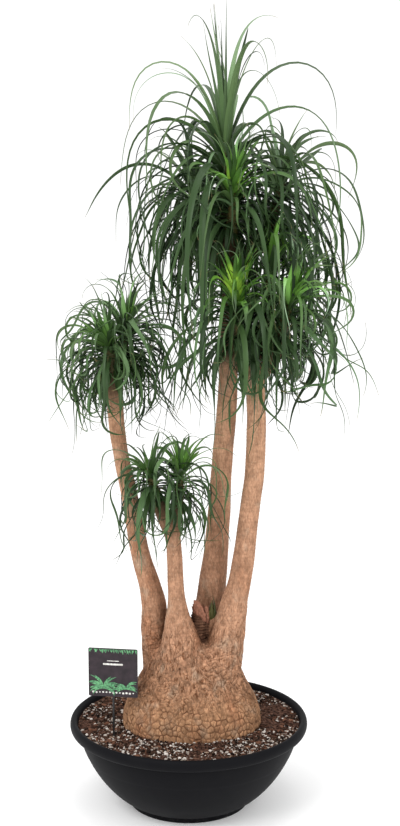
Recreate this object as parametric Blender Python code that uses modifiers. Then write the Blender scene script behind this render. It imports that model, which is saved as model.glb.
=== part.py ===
"""A branched ponytail palm in a wide dark bowl, built at its real size.

The palm grows from one swollen, cracked base that splits into four bare stems. Each stem carries one or
more rosettes of long strap leaves. The bowl holds potting soil, and a small label stands in the soil.
Units are metres, +Z is up, and the origin is the centre of the bowl's foot on the floor.
"""

import math
import random
from typing import NamedTuple

import bmesh
import bpy
import numpy as np
from mathutils import Matrix, Vector
from mathutils.bvhtree import BVHTree

# Gap between solids that touch
GAP = 0.0003

# Bowl
TURN_STEPS = 36
BOWL_HEIGHT = 0.202
WALL = 0.005
FOOT_RADIUS = 0.140
FOOT_HEIGHT = 0.013
FOOT_CHAMFER = 0.003
FLOOR_ROUND = 0.006
BODY_LOW_RADIUS = 0.142
BODY_TOP_RADIUS = 0.2527
BODY_TOP_Z = 0.1725
BODY_RISE_POWER = 0.769
BODY_FLARE_POWER = 1.449
BODY_SPANS = 7
INNER_SPANS = 5
SPAN_SPREAD = 1.4
RIM_RADIUS = 0.2745
RIM_LIP_RADIUS = 0.256
RIM_CENTRE_Z = 0.189
RIM_HALF_WIDTH = 0.0085
RIM_HALF_HEIGHT = BOWL_HEIGHT - RIM_CENTRE_Z
RIM_SPANS = 7
RIM_START = math.radians(170.0)
RIM_SWEEP = math.radians(-260.0)

# Soil
SOIL_EDGE_RADIUS = 0.257
SOIL_EDGE_Z = 0.188
SOIL_MOUND = 0.003
SOIL_SHOULDER = (0.190, 0.8)
SOIL_HOLE_CLEARANCE = 0.0006

# Swollen base: radius and height, before it is made oval
BASE_CENTRE = (0.007, -0.016)
BASE_DEPTH_RATIO = 0.80
BASE_BOTTOM_Z = 0.135
BASE_TOP_Z = 0.392
BASE_PROFILE = (
    (0.040, 0.388),
    (0.080, 0.372),
    (0.101, 0.345),
    (0.115, 0.312),
    (0.131, 0.280),
    (0.147, 0.250),
    (0.157, 0.222),
    (0.159, 0.195),
    (0.152, 0.160),
    (0.138, BASE_BOTTOM_Z),
)

# Stems: x, y, z and radius at each design point, from inside the base upwards
STEM_LEFT = (
    (-0.040, 0.000, 0.270, 0.0600),
    (-0.068, 0.002, 0.344, 0.0380),
    (-0.078, 0.004, 0.420, 0.0310),
    (-0.080, 0.004, 0.470, 0.0280),
    (-0.092, 0.004, 0.522, 0.0245),
    (-0.112, 0.003, 0.595, 0.0215),
    (-0.133, 0.002, 0.715, 0.0190),
    (-0.152, 0.001, 0.814, 0.0178),
    (-0.161, 0.000, 0.880, 0.0182),
    (-0.165, 0.000, 0.947, 0.0188),
    (-0.163, 0.000, 0.990, 0.0184),
)
STEM_SHORT = (
    (-0.016, -0.040, 0.290, 0.0620),
    (-0.017, -0.048, 0.385, 0.0460),
    (-0.023, -0.052, 0.440, 0.0315),
    (-0.026, -0.054, 0.490, 0.0205),
    (-0.029, -0.055, 0.540, 0.0185),
    (-0.032, -0.058, 0.611, 0.0174),
    (-0.037, -0.060, 0.655, 0.0185),
)
STEM_TALL = (
    (0.030, 0.020, 0.290, 0.0600),
    (0.040, 0.038, 0.370, 0.0440),
    (0.049, 0.046, 0.450, 0.0355),
    (0.063, 0.048, 0.579, 0.0287),
    (0.072, 0.048, 0.703, 0.0256),
    (0.075, 0.047, 0.772, 0.0242),
    (0.085, 0.046, 0.886, 0.0234),
    (0.091, 0.046, 1.004, 0.0220),
    (0.095, 0.047, 1.138, 0.0212),
    (0.096, 0.048, 1.240, 0.0200),
)
STEM_RIGHT = (
    (0.052, -0.026, 0.270, 0.0660),
    (0.078, -0.030, 0.358, 0.0460),
    (0.094, -0.030, 0.430, 0.0360),
    (0.105, -0.029, 0.485, 0.0300),
    (0.116, -0.028, 0.529, 0.0265),
    (0.127, -0.026, 0.600, 0.0245),
    (0.141, -0.023, 0.719, 0.0224),
    (0.149, -0.021, 0.785, 0.0222),
    (0.152, -0.019, 0.896, 0.0222),
    (0.150, -0.017, 0.937, 0.0212),
    (0.149, -0.015, 1.000, 0.0216),
)
# The hollow stub of an old shoot, where the stems part
STUB = (
    (0.014, -0.018, 0.350, 0.0300),
    (0.021, -0.014, 0.410, 0.0205),
    (0.026, -0.012, 0.452, 0.0180),
)
STUB_HOLLOW_RADIUS = 0.013
STUB_HOLLOW_RISE = 0.005

# Trunk surface
STEM_POINTS = 4
BRANCH_LEAD = 0.35
TRUNK_VOXEL = 0.007
TRUNK_SMOOTHING = 5
TRUNK_TRIANGLES = 1700
PAST_CUT = 0.020
CUTTER_LENGTH = 0.050
CUTTER_WIDER = 1.75
CUTTER_SIDES = 16


class Rosette(NamedTuple):
    """One head of strap leaves at the end of a branch."""

    name: str
    fork: tuple  # where its branch leaves the stem: x, y, z and radius
    tip: tuple  # the growing point
    lean: tuple  # the direction that the growing point faces
    leafy: float  # length of the end of the branch that bears leaves
    radius: float  # of that leafy end
    blades: int
    length: float  # of a full-grown blade
    width: float  # of a full-grown blade
    spear: float  # length of the youngest blades, as a share of a full-grown one
    sag: float  # how much the blades bend under their weight
    spans: int  # straight runs in a blade
    open_front: float  # radius of the space before its heart that other heads leave free
    seed: int


LEFT_FORK = (-0.163, 0.000, 0.985, 0.0184)
SHORT_FORK = (-0.037, -0.060, 0.650, 0.0180)
RIGHT_FORK = (0.149, -0.015, 0.990, 0.0216)
TALL_FORK = (0.096, 0.048, 1.240, 0.0200)
TALL_LOW_FORK = (0.092, 0.036, 1.020, 0.0190)
STUB_FORK = (0.040, -0.010, 0.380, 0.0120)

# First line: name, fork, tip, lean, leafy, radius
# Second line: blades, length, width, spear, sag, spans, open_front, seed
ROSETTES = (
    Rosette(
        "rosette_top", TALL_FORK, (0.080, 0.046, 1.495), (-0.06, 0.00, 1.0), 0.150, 0.0175,
        44, 0.64, 0.018, 0.60, 8.0, 5, 0.000, 11,
    ),
    Rosette(
        "rosette_top_front", TALL_FORK, (0.099, -0.022, 1.405), (0.05, -0.30, 1.0), 0.100, 0.0145,
        22, 0.38, 0.016, 0.36, 7.6, 5, 0.025, 12,
    ),
    Rosette(
        "rosette_top_right", TALL_FORK, (0.212, 0.085, 1.425), (0.30, 0.20, 1.0), 0.095, 0.0145,
        30, 0.52, 0.016, 0.30, 8.0, 5, 0.000, 13,
    ),
    Rosette(
        "rosette_top_left", TALL_FORK, (0.008, 0.098, 1.405), (-0.25, 0.30, 1.0), 0.095, 0.0145,
        30, 0.45, 0.016, 0.32, 7.6, 5, 0.000, 14,
    ),
    Rosette(
        "rosette_middle_front", TALL_LOW_FORK, (0.106, -0.040, 1.168), (0.02, -0.25, 1.0), 0.100, 0.0155,
        28, 0.40, 0.016, 0.38, 7.4, 5, 0.050, 15,
    ),
    Rosette(
        "rosette_middle_right", RIGHT_FORK, (0.224, -0.062, 1.165), (0.30, -0.22, 1.0), 0.095, 0.0155,
        28, 0.41, 0.016, 0.36, 7.2, 5, 0.020, 16,
    ),
    Rosette(
        "rosette_middle_back", RIGHT_FORK, (0.186, 0.012, 1.248), (0.10, 0.10, 1.0), 0.120, 0.0160,
        28, 0.42, 0.016, 0.34, 7.6, 5, 0.020, 17,
    ),
    Rosette(
        "rosette_left_front", LEFT_FORK, (-0.180, -0.030, 1.068), (-0.30, -0.25, 1.0), 0.060, 0.0145,
        30, 0.30, 0.013, 0.38, 7.0, 4, 0.000, 18,
    ),
    Rosette(
        "rosette_left_back", LEFT_FORK, (-0.138, 0.026, 1.105), (0.20, 0.20, 1.0), 0.080, 0.0145,
        34, 0.32, 0.013, 0.38, 7.0, 4, 0.025, 19,
    ),
    Rosette(
        "rosette_low_left", SHORT_FORK, (-0.086, -0.078, 0.786), (-0.30, -0.15, 1.0), 0.050, 0.0125,
        22, 0.26, 0.012, 0.36, 6.4, 4, 0.000, 20,
    ),
    Rosette(
        "rosette_low_right", SHORT_FORK, (-0.016, -0.052, 0.784), (0.12, 0.05, 1.0), 0.060, 0.0125,
        24, 0.27, 0.012, 0.46, 6.4, 4, 0.025, 21,
    ),
    Rosette(
        "fork_shoot", STUB_FORK, (0.057, -0.018, 0.458), (0.20, -0.05, 1.0), 0.012, 0.0060,
        8, 0.065, 0.0055, 0.70, 2.5, 3, 0.000, 22,
    ),
)

# The core of a head: the stacked bases of its leaves
CORE_SIDES = 7
CORE_TAPER = 0.40
CORE_WIDER = 0.001
CORE_PAST_TIP = 0.006

# Where blades leave the core, and how far each may stray from its place
GOLDEN_TURN = math.pi * (3.0 - math.sqrt(5.0))
OPENING_YOUNG = math.radians(5.0)
OPENING_OLD = math.radians(104.0)
OPENING_LEAST = math.radians(2.0)
OPENING_POWER = 0.95
FIRST_ROOT = 0.004
LAST_ROOT = 0.008
STRAY = 0.15
STRAY_MORE = 0.02
OPENING_STRAY = 0.35
FULL_GROWN_AT = 0.31
OLD_SHORTER = 0.22
LENGTH_SPREAD = (0.80, 1.05)
GROW_TRIES = 80

# How a blade bends on its way
PATH_STEPS = 24
SAG_AT_ROOT = 0.25
SAG_GAIN = 1.5
SAG_POWER = 1.5
SAG_SPREAD = (0.70, 1.25)
HANG = (math.radians(70.0), math.radians(106.0))
DRIFT = 1.5
TWIST = 1.3
BEND_WEIGHT = 0.6

# Section of a blade
BLADE_DEPTH = 0.0022
BLADE_TIP_DEPTH = 0.0012
ROOT_WIDTH = 0.40
ROOT_SHARE = 0.22
TAPER_POWER = 0.80
THREAD_WIDTH = 0.10

# Room that blades leave round other blades and stems, and in front of some hearts
BLADE_CLEARANCE = 0.0012
STEM_CLEARANCE = 0.003
ROOT_TRIANGLES = 7
TUBE_SIDES = 12
OPEN_AIM = Vector((0.0, -0.99, 0.14))
OPEN_FROM = 0.03
OPEN_TO = 0.26
OPEN_FLARE = 1.3

# Label
LABEL_FOOT = (-0.168, -0.098)
LABEL_TURN = math.radians(-8.4)
CARD_SIDE = 0.112
CARD_THICKNESS = 0.0015
CARD_BOTTOM_Z = 0.283
STAKE_WIDTH = 0.0045
STAKE_THICKNESS = 0.0022
STAKE_DEPTH = 0.050
STAKE_UP_CARD = 0.060
STAKE_SLOT_ROOM = 0.0006

COLOURS = {
    "bowl": (0.020, 0.020, 0.022),
    "soil": (0.060, 0.035, 0.022),
    "bark": (0.420, 0.235, 0.120),
    "leaf": (0.045, 0.130, 0.035),
    "card": (0.030, 0.022, 0.024),
    "stake": (0.010, 0.010, 0.010),
}
ROUGHNESS = {"bowl": 0.55, "soil": 0.95, "bark": 0.85, "leaf": 0.45, "card": 0.35, "stake": 0.50}
SHARP_EDGE = math.radians(40.0)


def clear_scene():
    for obj in list(bpy.data.objects):
        bpy.data.objects.remove(obj, do_unlink=True)


def make_collection(name):
    made = bpy.data.collections.new(name)
    bpy.context.scene.collection.children.link(made)
    return made


def make_material(name):
    material = bpy.data.materials.new(name)
    material.use_nodes = True
    shader = material.node_tree.nodes["Principled BSDF"]
    shader.inputs["Base Color"].default_value = (*COLOURS[name], 1.0)
    shader.inputs["Roughness"].default_value = ROUGHNESS[name]
    shader.inputs["Metallic"].default_value = 0.0
    return material


def object_from_mesh(name, mesh, collection, material=None):
    made = bpy.data.objects.new(name, mesh)
    collection.objects.link(made)
    if material is not None:
        mesh.materials.append(material)
    return made


def object_from_bmesh(name, shape, collection, material=None):
    mesh = bpy.data.meshes.new(name)
    shape.to_mesh(mesh)
    shape.free()
    return object_from_mesh(name, mesh, collection, material)


def apply_modifiers(obj):
    """Leaves an object as the plain mesh that its modifiers make."""
    bpy.context.view_layer.update()
    graph = bpy.context.evaluated_depsgraph_get()
    mesh = bpy.data.meshes.new_from_object(obj.evaluated_get(graph))
    obj.modifiers.clear()
    obj.data = mesh
    return obj


def shade_round(obj):
    obj.data.shade_smooth()
    obj.data.set_sharp_from_angle(angle=SHARP_EDGE)
    return obj


def as_cutter(obj):
    obj.hide_render = True
    obj.display_type = "WIRE"
    return obj


def cut_away(obj, name, cutter):
    cut = obj.modifiers.new(name, "BOOLEAN")
    cut.operation = "DIFFERENCE"
    cut.object = as_cutter(cutter)


def turned(name, profile, collection, material=None):
    """A solid turned from a profile of radius and height: from the axis at the top, round the outside,
    to the axis at the bottom."""
    mesh = bpy.data.meshes.new(name)
    points = [(radius, 0.0, z) for radius, z in profile]
    edges = [(k, k + 1) for k in range(len(points) - 1)]
    mesh.from_pydata(points, edges, [])
    made = object_from_mesh(name, mesh, collection, material)
    screw = made.modifiers.new("Turn", "SCREW")
    screw.steps = TURN_STEPS
    screw.render_steps = TURN_STEPS
    screw.use_merge_vertices = True
    screw.merge_threshold = 0.00001
    return apply_modifiers(made)


def body_radius(z):
    """Outer radius of the bowl at a height between its foot and its rim."""
    share = min(max((z - FOOT_HEIGHT) / (BODY_TOP_Z - FOOT_HEIGHT), 0.0), 1.0)
    swell = 1.0 - (1.0 - share**BODY_RISE_POWER) ** BODY_FLARE_POWER
    return BODY_LOW_RADIUS + (BODY_TOP_RADIUS - BODY_LOW_RADIUS) * swell


def body_heights(spans):
    """Heights up the bowl's body, closest together at the foot, where it curves most."""
    rise = BODY_TOP_Z - FOOT_HEIGHT
    return [FOOT_HEIGHT + rise * (k / spans) ** SPAN_SPREAD for k in range(spans + 1)]


def inner_wall(inset):
    """The bowl's inside from its floor up to the soil's edge, or a line this far inside it."""
    wall = [(body_radius(z) - WALL - inset, z + WALL) for z in body_heights(INNER_SPANS)]
    floor = WALL + inset
    edge = (SOIL_EDGE_RADIUS - inset, SOIL_EDGE_Z)
    return [(0.0, floor), (wall[0][0] - FLOOR_ROUND, floor)] + wall + [edge]


def build_bowl(collection, material):
    turns = [RIM_START + RIM_SWEEP * k / RIM_SPANS for k in range(RIM_SPANS + 1)]
    middle = RIM_RADIUS - RIM_HALF_WIDTH
    rim = [
        (middle + RIM_HALF_WIDTH * math.cos(turn), RIM_CENTRE_Z + RIM_HALF_HEIGHT * math.sin(turn))
        for turn in turns
    ]
    body = [(body_radius(z), z) for z in reversed(body_heights(BODY_SPANS))]
    foot = [
        (FOOT_RADIUS, FOOT_HEIGHT),
        (FOOT_RADIUS, FOOT_CHAMFER),
        (FOOT_RADIUS - FOOT_CHAMFER, 0.0),
        (0.0, 0.0),
    ]
    profile = inner_wall(0.0) + rim + [(RIM_LIP_RADIUS, BODY_TOP_Z)] + body + foot
    return shade_round(turned("bowl", profile, collection, material))


def build_soil(collection, material, cutters, trunk):
    shoulder_radius, shoulder_rise = SOIL_SHOULDER
    crown = [(0.0, SOIL_EDGE_Z + SOIL_MOUND), (shoulder_radius, SOIL_EDGE_Z + SOIL_MOUND * shoulder_rise)]
    soil = turned("soil", crown + inner_wall(GAP)[::-1], collection, material)
    mould = object_from_mesh("trunk_mould", trunk.data.copy(), cutters)
    swell = mould.modifiers.new("Clearance", "DISPLACE")
    swell.mid_level = 0.0
    swell.strength = SOIL_HOLE_CLEARANCE
    cut_away(soil, "Trunk hole", mould)
    cut_away(soil, "Stake slot", build_stake("stake_slot", cutters, None, STAKE_SLOT_ROOM))
    return shade_round(apply_modifiers(soil))


def smooth_line(points):
    """A smooth line through design points of any width, read at even steps."""
    rows = np.array(points, float)
    padded = np.vstack([2 * rows[0] - rows[1], rows, 2 * rows[-1] - rows[-2]])
    line = []
    for k in range(len(rows) - 1):
        before, start, end, after = padded[k : k + 4]
        lift = (end - before) / 2
        fall = (after - start) / 2
        for step in range(STEM_POINTS):
            t = step / STEM_POINTS
            base = (2 * t**3 - 3 * t**2 + 1) * start + (3 * t**2 - 2 * t**3) * end
            line.append(base + (t**3 - 2 * t**2 + t) * lift + (t**3 - t**2) * fall)
    line.append(rows[-1])
    return np.array(line)


def axis_of(rosette):
    return Vector(rosette.lean).normalized()


def seat_frame(rosette):
    """The place and turn of the flat end on which a head sits, with its axis as Z."""
    axis = axis_of(rosette)
    seat = Vector(rosette.tip) - axis * rosette.leafy
    return Matrix.Translation(seat) @ axis.to_track_quat("Z", "Y").to_matrix().to_4x4()


def branch_line(rosette, past_cut):
    """The bare branch of a rosette, from inside its stem to this far past its flat end."""
    axis = axis_of(rosette)
    seat = seat_frame(rosette).translation
    lead = seat - axis * (seat - Vector(rosette.fork[:3])).length * BRANCH_LEAD
    middle_radius = 0.5 * (rosette.fork[3] + rosette.radius)
    rows = [rosette.fork, (*lead, middle_radius), (*seat, rosette.radius)]
    line = smooth_line(rows)
    if past_cut > 0.0:
        line = np.vstack([line, (*(seat + axis * past_cut), rosette.radius)])
    return line


def stem_lines(past_cut):
    stems = [smooth_line(stem) for stem in (STEM_LEFT, STEM_SHORT, STEM_TALL, STEM_RIGHT, STUB)]
    return stems + [branch_line(rosette, past_cut) for rosette in ROSETTES]


def tube_mesh(line):
    """A round tube along a line of x, y, z and radius."""
    curve = bpy.data.curves.new("tube", "CURVE")
    curve.dimensions = "3D"
    curve.bevel_depth = 1.0
    curve.use_fill_caps = True
    spline = curve.splines.new("POLY")
    spline.points.add(len(line) - 1)
    for point, (x, y, z, radius) in zip(spline.points, line):
        point.co = (x, y, z, 1.0)
        point.radius = radius
    holder = bpy.data.objects.new("tube", curve)
    bpy.context.scene.collection.objects.link(holder)
    bpy.context.view_layer.update()
    graph = bpy.context.evaluated_depsgraph_get()
    mesh = bpy.data.meshes.new_from_object(holder.evaluated_get(graph))
    bpy.data.objects.remove(holder)
    return mesh


def base_mesh(collection):
    """The swollen base, turned round and then made oval."""
    profile = [(0.0, BASE_TOP_Z), *BASE_PROFILE, (0.0, BASE_BOTTOM_Z)]
    base = turned("base", profile, collection)
    mesh = base.data
    oval = Matrix.Diagonal((1.0, BASE_DEPTH_RATIO, 1.0, 1.0))
    mesh.transform(Matrix.Translation((*BASE_CENTRE, 0.0)) @ oval)
    bpy.data.objects.remove(base)
    return mesh


def end_cutter(rosette, collection):
    """A cylinder that cuts the end of a branch flat, where its head begins."""
    shape = bmesh.new()
    bmesh.ops.create_cone(
        shape,
        cap_ends=True,
        segments=CUTTER_SIDES,
        radius1=rosette.radius * CUTTER_WIDER,
        radius2=rosette.radius * CUTTER_WIDER,
        depth=CUTTER_LENGTH,
        matrix=seat_frame(rosette) @ Matrix.Translation((0.0, 0.0, CUTTER_LENGTH / 2)),
    )
    return object_from_bmesh("end_of_" + rosette.name, shape, collection)


def hollow_cutter(collection):
    x, y, z, _ = STUB[-1]
    shape = bmesh.new()
    bmesh.ops.create_uvsphere(
        shape,
        u_segments=CUTTER_SIDES,
        v_segments=CUTTER_SIDES // 2,
        radius=STUB_HOLLOW_RADIUS,
        matrix=Matrix.Translation((x, y, z + STUB_HOLLOW_RISE)),
    )
    return object_from_bmesh("stub_hollow", shape, collection)


def build_trunk(collection, material, cutters):
    """Base, stems, forks and stub, grown together in one skin, with a flat end under each head."""
    shape = bmesh.new()
    for mesh in [base_mesh(collection)] + [tube_mesh(line) for line in stem_lines(PAST_CUT)]:
        shape.from_mesh(mesh)
        bpy.data.meshes.remove(mesh)
    bmesh.ops.remove_doubles(shape, verts=shape.verts, dist=0.00001)
    trunk = object_from_bmesh("trunk", shape, collection, material)
    fuse = trunk.modifiers.new("Grow together", "REMESH")
    fuse.mode = "VOXEL"
    fuse.voxel_size = TRUNK_VOXEL
    soften = trunk.modifiers.new("Soften forks", "SMOOTH")
    soften.factor = 0.5
    soften.iterations = TRUNK_SMOOTHING
    apply_modifiers(trunk)
    thin = trunk.modifiers.new("Fewer faces", "DECIMATE")
    thin.ratio = TRUNK_TRIANGLES / (2.0 * len(trunk.data.polygons))
    apply_modifiers(trunk)
    for rosette in ROSETTES:
        cut_away(trunk, "Flat end " + rosette.name, end_cutter(rosette, cutters))
    cut_away(trunk, "Stub hollow", hollow_cutter(cutters))
    return shade_round(apply_modifiers(trunk))


class Blade(NamedTuple):
    """The centre line of one blade, with its headings, sideways directions, roll, width and joints."""

    points: list
    headings: list
    sides: list
    twist: float
    width: float
    stations: list


class Bend(NamedTuple):
    """How one blade bends: how strongly, to which final slope, and how far it swings sideways."""

    sag: float
    hang: float
    drift: float


def direction(pitch, turn):
    return Vector((math.cos(pitch) * math.cos(turn), math.cos(pitch) * math.sin(turn), math.sin(pitch)))


def blade_path(root, heading, length, bend):
    """Points, headings and sideways directions along a blade that bends under its own weight."""
    pitch = math.asin(max(-1.0, min(1.0, heading.z)))
    turn = math.atan2(heading.y, heading.x)
    points = [root.copy()]
    headings = [heading]
    sides = [Vector((-math.sin(turn), math.cos(turn), 0.0))]
    for k in range(PATH_STEPS):
        share = (k + 0.5) / PATH_STEPS
        pull = math.cos(pitch) if pitch > 0.0 else math.cos(pitch / bend.hang * math.pi / 2)
        pitch -= bend.sag * (SAG_AT_ROOT + SAG_GAIN * share) * pull / PATH_STEPS
        turn += bend.drift * share / PATH_STEPS
        headings.append(direction(pitch, turn))
        points.append(points[-1] + headings[-1] * (length / PATH_STEPS))
        sides.append(Vector((-math.sin(turn), math.cos(turn), 0.0)))
    return points, headings, sides


def joints_of(headings, spans):
    """The steps of a path at which its straight runs meet, closer together where it bends more."""
    travel = [0.0]
    for before, after in zip(headings[:-1], headings[1:]):
        travel.append(travel[-1] + 1.0 / PATH_STEPS + BEND_WEIGHT * before.angle(after))
    joints = [0]
    for span in range(1, spans):
        goal = travel[-1] * span / spans
        nearest = min(range(len(travel)), key=lambda k: abs(travel[k] - goal))
        joints.append(max(joints[-1] + 1, nearest))
    return joints + [PATH_STEPS]


def blade_width(share, width):
    """Width along a blade: it swells just past its root and then narrows to a thread."""
    if share < ROOT_SHARE:
        return width * (ROOT_WIDTH + (1.0 - ROOT_WIDTH) * share / ROOT_SHARE)
    left = (1.0 - share) / (1.0 - ROOT_SHARE)
    return width * max(THREAD_WIDTH, left**TAPER_POWER)


def blade_shape(blade, spare):
    """Corners and triangles of a three-sided blade: two edges and a keel, drawn out to a point. Spare
    makes it that much larger all round."""
    corners = []
    for station in blade.stations[:-1]:
        share = station / PATH_STEPS
        heading = blade.headings[station]
        side = Matrix.Rotation(blade.twist * share, 3, heading) @ blade.sides[station]
        face = side.cross(heading)
        half = side * (0.5 * blade_width(share, blade.width) + spare)
        depth = BLADE_DEPTH + (BLADE_TIP_DEPTH - BLADE_DEPTH) * share
        low = blade.points[station] - face * spare
        high = blade.points[station] + face * (depth + spare)
        corners += [low - half, low + half, high]
    corners.append(blade.points[-1])
    triangles = [(0, 1, 2)]
    for low in range(0, len(corners) - 4, 3):
        for a, b in ((0, 1), (1, 2), (2, 0)):
            triangles.append((low + a, low + 3 + a, low + 3 + b))
            triangles.append((low + a, low + 3 + b, low + b))
    tip = len(corners) - 1
    triangles += [(tip - 3 + a, tip, tip - 3 + b) for a, b in ((0, 1), (1, 2), (2, 0))]
    return corners, triangles


class Obstacle(NamedTuple):
    """A grown blade, a stem or an open space that new blades keep clear of."""

    whole: BVHTree
    outer: BVHTree
    low: np.ndarray
    high: np.ndarray
    owner: int


def make_obstacle(corners, triangles, outer_from, owner):
    """An obstacle whose outer part leaves out the first triangles. Its owner's blades mind only that."""
    rows = np.array(corners)
    whole = BVHTree.FromPolygons(corners, triangles, all_triangles=True)
    outer = BVHTree.FromPolygons(corners, triangles[outer_from:], all_triangles=True)
    return Obstacle(whole, outer, rows.min(0), rows.max(0), owner)


def blade_obstacle(blade, owner):
    """A blade and the room round it. Its cap and first run may cross others of its own head."""
    corners, triangles = blade_shape(blade, BLADE_CLEARANCE)
    return make_obstacle(corners, triangles, ROOT_TRIANGLES, owner)


def tube_obstacle(line, spare, owner):
    """A tube round a line of x, y, z and radius. It stops every blade but its owner's."""
    corners = []
    for k, (x, y, z, radius) in enumerate(line):
        before = Vector(line[max(k - 1, 0)][:3])
        after = Vector(line[min(k + 1, len(line) - 1)][:3])
        turn = (after - before).to_track_quat("Z", "Y")
        for side in range(TUBE_SIDES):
            angle = 2 * math.pi * side / TUBE_SIDES
            spoke = Vector((math.cos(angle), math.sin(angle), 0.0)) * (radius + spare)
            corners.append(Vector((x, y, z)) + turn @ spoke)
    triangles = []
    for ring in range(0, len(corners) - TUBE_SIDES, TUBE_SIDES):
        for side in range(TUBE_SIDES):
            a = ring + side
            b = ring + (side + 1) % TUBE_SIDES
            triangles += [(a, b, b + TUBE_SIDES), (a, b + TUBE_SIDES, a + TUBE_SIDES)]
    end = len(corners) - TUBE_SIDES
    triangles += [(end, end + side, end + side + 1) for side in range(1, TUBE_SIDES - 1)]
    return make_obstacle(corners, triangles, len(triangles), owner)


def core_obstacle(rosette, owner):
    seat = seat_frame(rosette).translation
    top = Vector(rosette.tip) + axis_of(rosette) * CORE_PAST_TIP
    radius = rosette.radius + CORE_WIDER
    return tube_obstacle(((*seat, radius), (*top, radius)), BLADE_CLEARANCE, owner)


def open_space(rosette, owner):
    """The space in front of a heart, which widens away from it."""
    heart = Vector(rosette.tip) + axis_of(rosette) * rosette.open_front
    near = (*(heart + OPEN_AIM * OPEN_FROM), rosette.open_front)
    far = (*(heart + OPEN_AIM * OPEN_TO), rosette.open_front * OPEN_FLARE)
    return tube_obstacle((near, far), 0.0, owner)


def is_clear(new, obstacles):
    """True if a blade crosses no other, apart from the roots of its own head."""
    for other in obstacles:
        if (new.low > other.high).any() or (new.high < other.low).any():
            continue
        if new.owner == other.owner:
            if new.outer.overlap(other.outer):
                return False
        elif new.whole.overlap(other.whole):
            return False
    return True


def draw_blade(rosette, number, stray, draw):
    """One random draw of a numbered blade, from the youngest upright ones to the oldest hanging ones."""
    age = (number + 0.5) / rosette.blades
    turn = number * GOLDEN_TURN + draw.uniform(-stray, stray)
    opening = OPENING_YOUNG + (OPENING_OLD - OPENING_YOUNG) * age**OPENING_POWER
    opening = max(OPENING_LEAST, opening + draw.uniform(-stray, stray) * OPENING_STRAY)
    heading = seat_frame(rosette).to_3x3() @ direction(math.pi / 2 - opening, turn)
    grown = rosette.spear + (1.0 - rosette.spear) * min(1.0, age / FULL_GROWN_AT)
    grown *= (1.0 - OLD_SHORTER * age**2) * draw.uniform(*LENGTH_SPREAD)
    sag = rosette.sag * grown**SAG_POWER * draw.uniform(*SAG_SPREAD)
    bend = Bend(sag, -draw.uniform(*HANG), draw.uniform(-DRIFT, DRIFT))
    twist = draw.uniform(-TWIST, TWIST)
    down = FIRST_ROOT + (rosette.leafy - FIRST_ROOT - LAST_ROOT) * age
    root = Vector(rosette.tip) - axis_of(rosette) * down
    points, headings, sides = blade_path(root, heading, rosette.length * grown, bend)
    return Blade(points, headings, sides, twist, rosette.width, joints_of(headings, rosette.spans))


def grow_blades(rosette, owner, obstacles):
    """The blades of one head, youngest first, each drawn again until it is clear of the rest."""
    draw = random.Random(rosette.seed)
    blades = []
    for number in range(rosette.blades):
        for attempt in range(GROW_TRIES):
            blade = draw_blade(rosette, number, STRAY + STRAY_MORE * attempt, draw)
            new = blade_obstacle(blade, owner)
            if is_clear(new, obstacles):
                obstacles.append(new)
                blades.append(blade)
                break
    return blades


def build_core(rosette, collection, material):
    height = rosette.leafy + CORE_PAST_TIP
    shape = bmesh.new()
    bmesh.ops.create_cone(
        shape,
        cap_ends=True,
        segments=CORE_SIDES,
        radius1=rosette.radius + CORE_WIDER,
        radius2=rosette.radius * CORE_TAPER,
        depth=height,
        matrix=seat_frame(rosette) @ Matrix.Translation((0.0, 0.0, GAP + height / 2)),
    )
    return object_from_bmesh(rosette.name, shape, collection, material)


def keep_main_body(obj):
    """Fills the sealed hollows and drops the loose scraps that joining many blades can leave."""
    shape = bmesh.new()
    shape.from_mesh(obj.data)
    unseen = set(shape.faces)
    bodies = []
    while unseen:
        body = {unseen.pop()}
        front = list(body)
        while front:
            face = front.pop()
            found = {other for edge in face.edges for other in edge.link_faces} & unseen
            unseen -= found
            body |= found
            front += found
        bodies.append(body)
    bodies.sort(key=len)
    for body in bodies[:-1]:
        bmesh.ops.delete(shape, geom=list(body), context="FACES")
    shape.to_mesh(obj.data)
    shape.free()
    return obj


def build_rosette(rosette, owner, obstacles, collection, material):
    """A head of blades joined to its core in one solid."""
    head = build_core(rosette, collection, material)
    leaves = make_collection("blades_of_" + rosette.name)
    for number, blade in enumerate(grow_blades(rosette, owner, obstacles)):
        mesh = bpy.data.meshes.new("blade")
        corners, triangles = blade_shape(blade, 0.0)
        mesh.from_pydata(corners, [], triangles)
        object_from_mesh(f"blade_{number}", mesh, leaves)
    join = head.modifiers.new("Join blades", "BOOLEAN")
    join.operation = "UNION"
    join.operand_type = "COLLECTION"
    join.collection = leaves
    join.solver = "MANIFOLD"
    apply_modifiers(head)
    for blade in list(leaves.objects):
        bpy.data.objects.remove(blade)
    bpy.data.collections.remove(leaves)
    return shade_round(keep_main_body(head))


def build_palm_heads(collection, material):
    obstacles = [tube_obstacle(line, STEM_CLEARANCE, -1) for line in stem_lines(0.0)]
    for owner, rosette in enumerate(ROSETTES):
        obstacles.append(core_obstacle(rosette, owner))
        if rosette.open_front > 0.0:
            obstacles.append(open_space(rosette, owner))
    for owner, rosette in enumerate(ROSETTES):
        build_rosette(rosette, owner, obstacles, collection, material)


def label_box(name, low, high, collection, material):
    """A box in the label's own frame, whose origin is where its stake enters the soil."""
    size = Vector(high) - Vector(low)
    middle = (Vector(high) + Vector(low)) / 2
    shape = bmesh.new()
    place = Matrix.Translation(middle) @ Matrix.Diagonal((*size, 1.0))
    bmesh.ops.create_cube(shape, size=1.0, matrix=place)
    made = object_from_bmesh(name, shape, collection, material)
    made.location = (*LABEL_FOOT, SOIL_EDGE_Z)
    made.rotation_euler.z = LABEL_TURN
    return made


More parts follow.
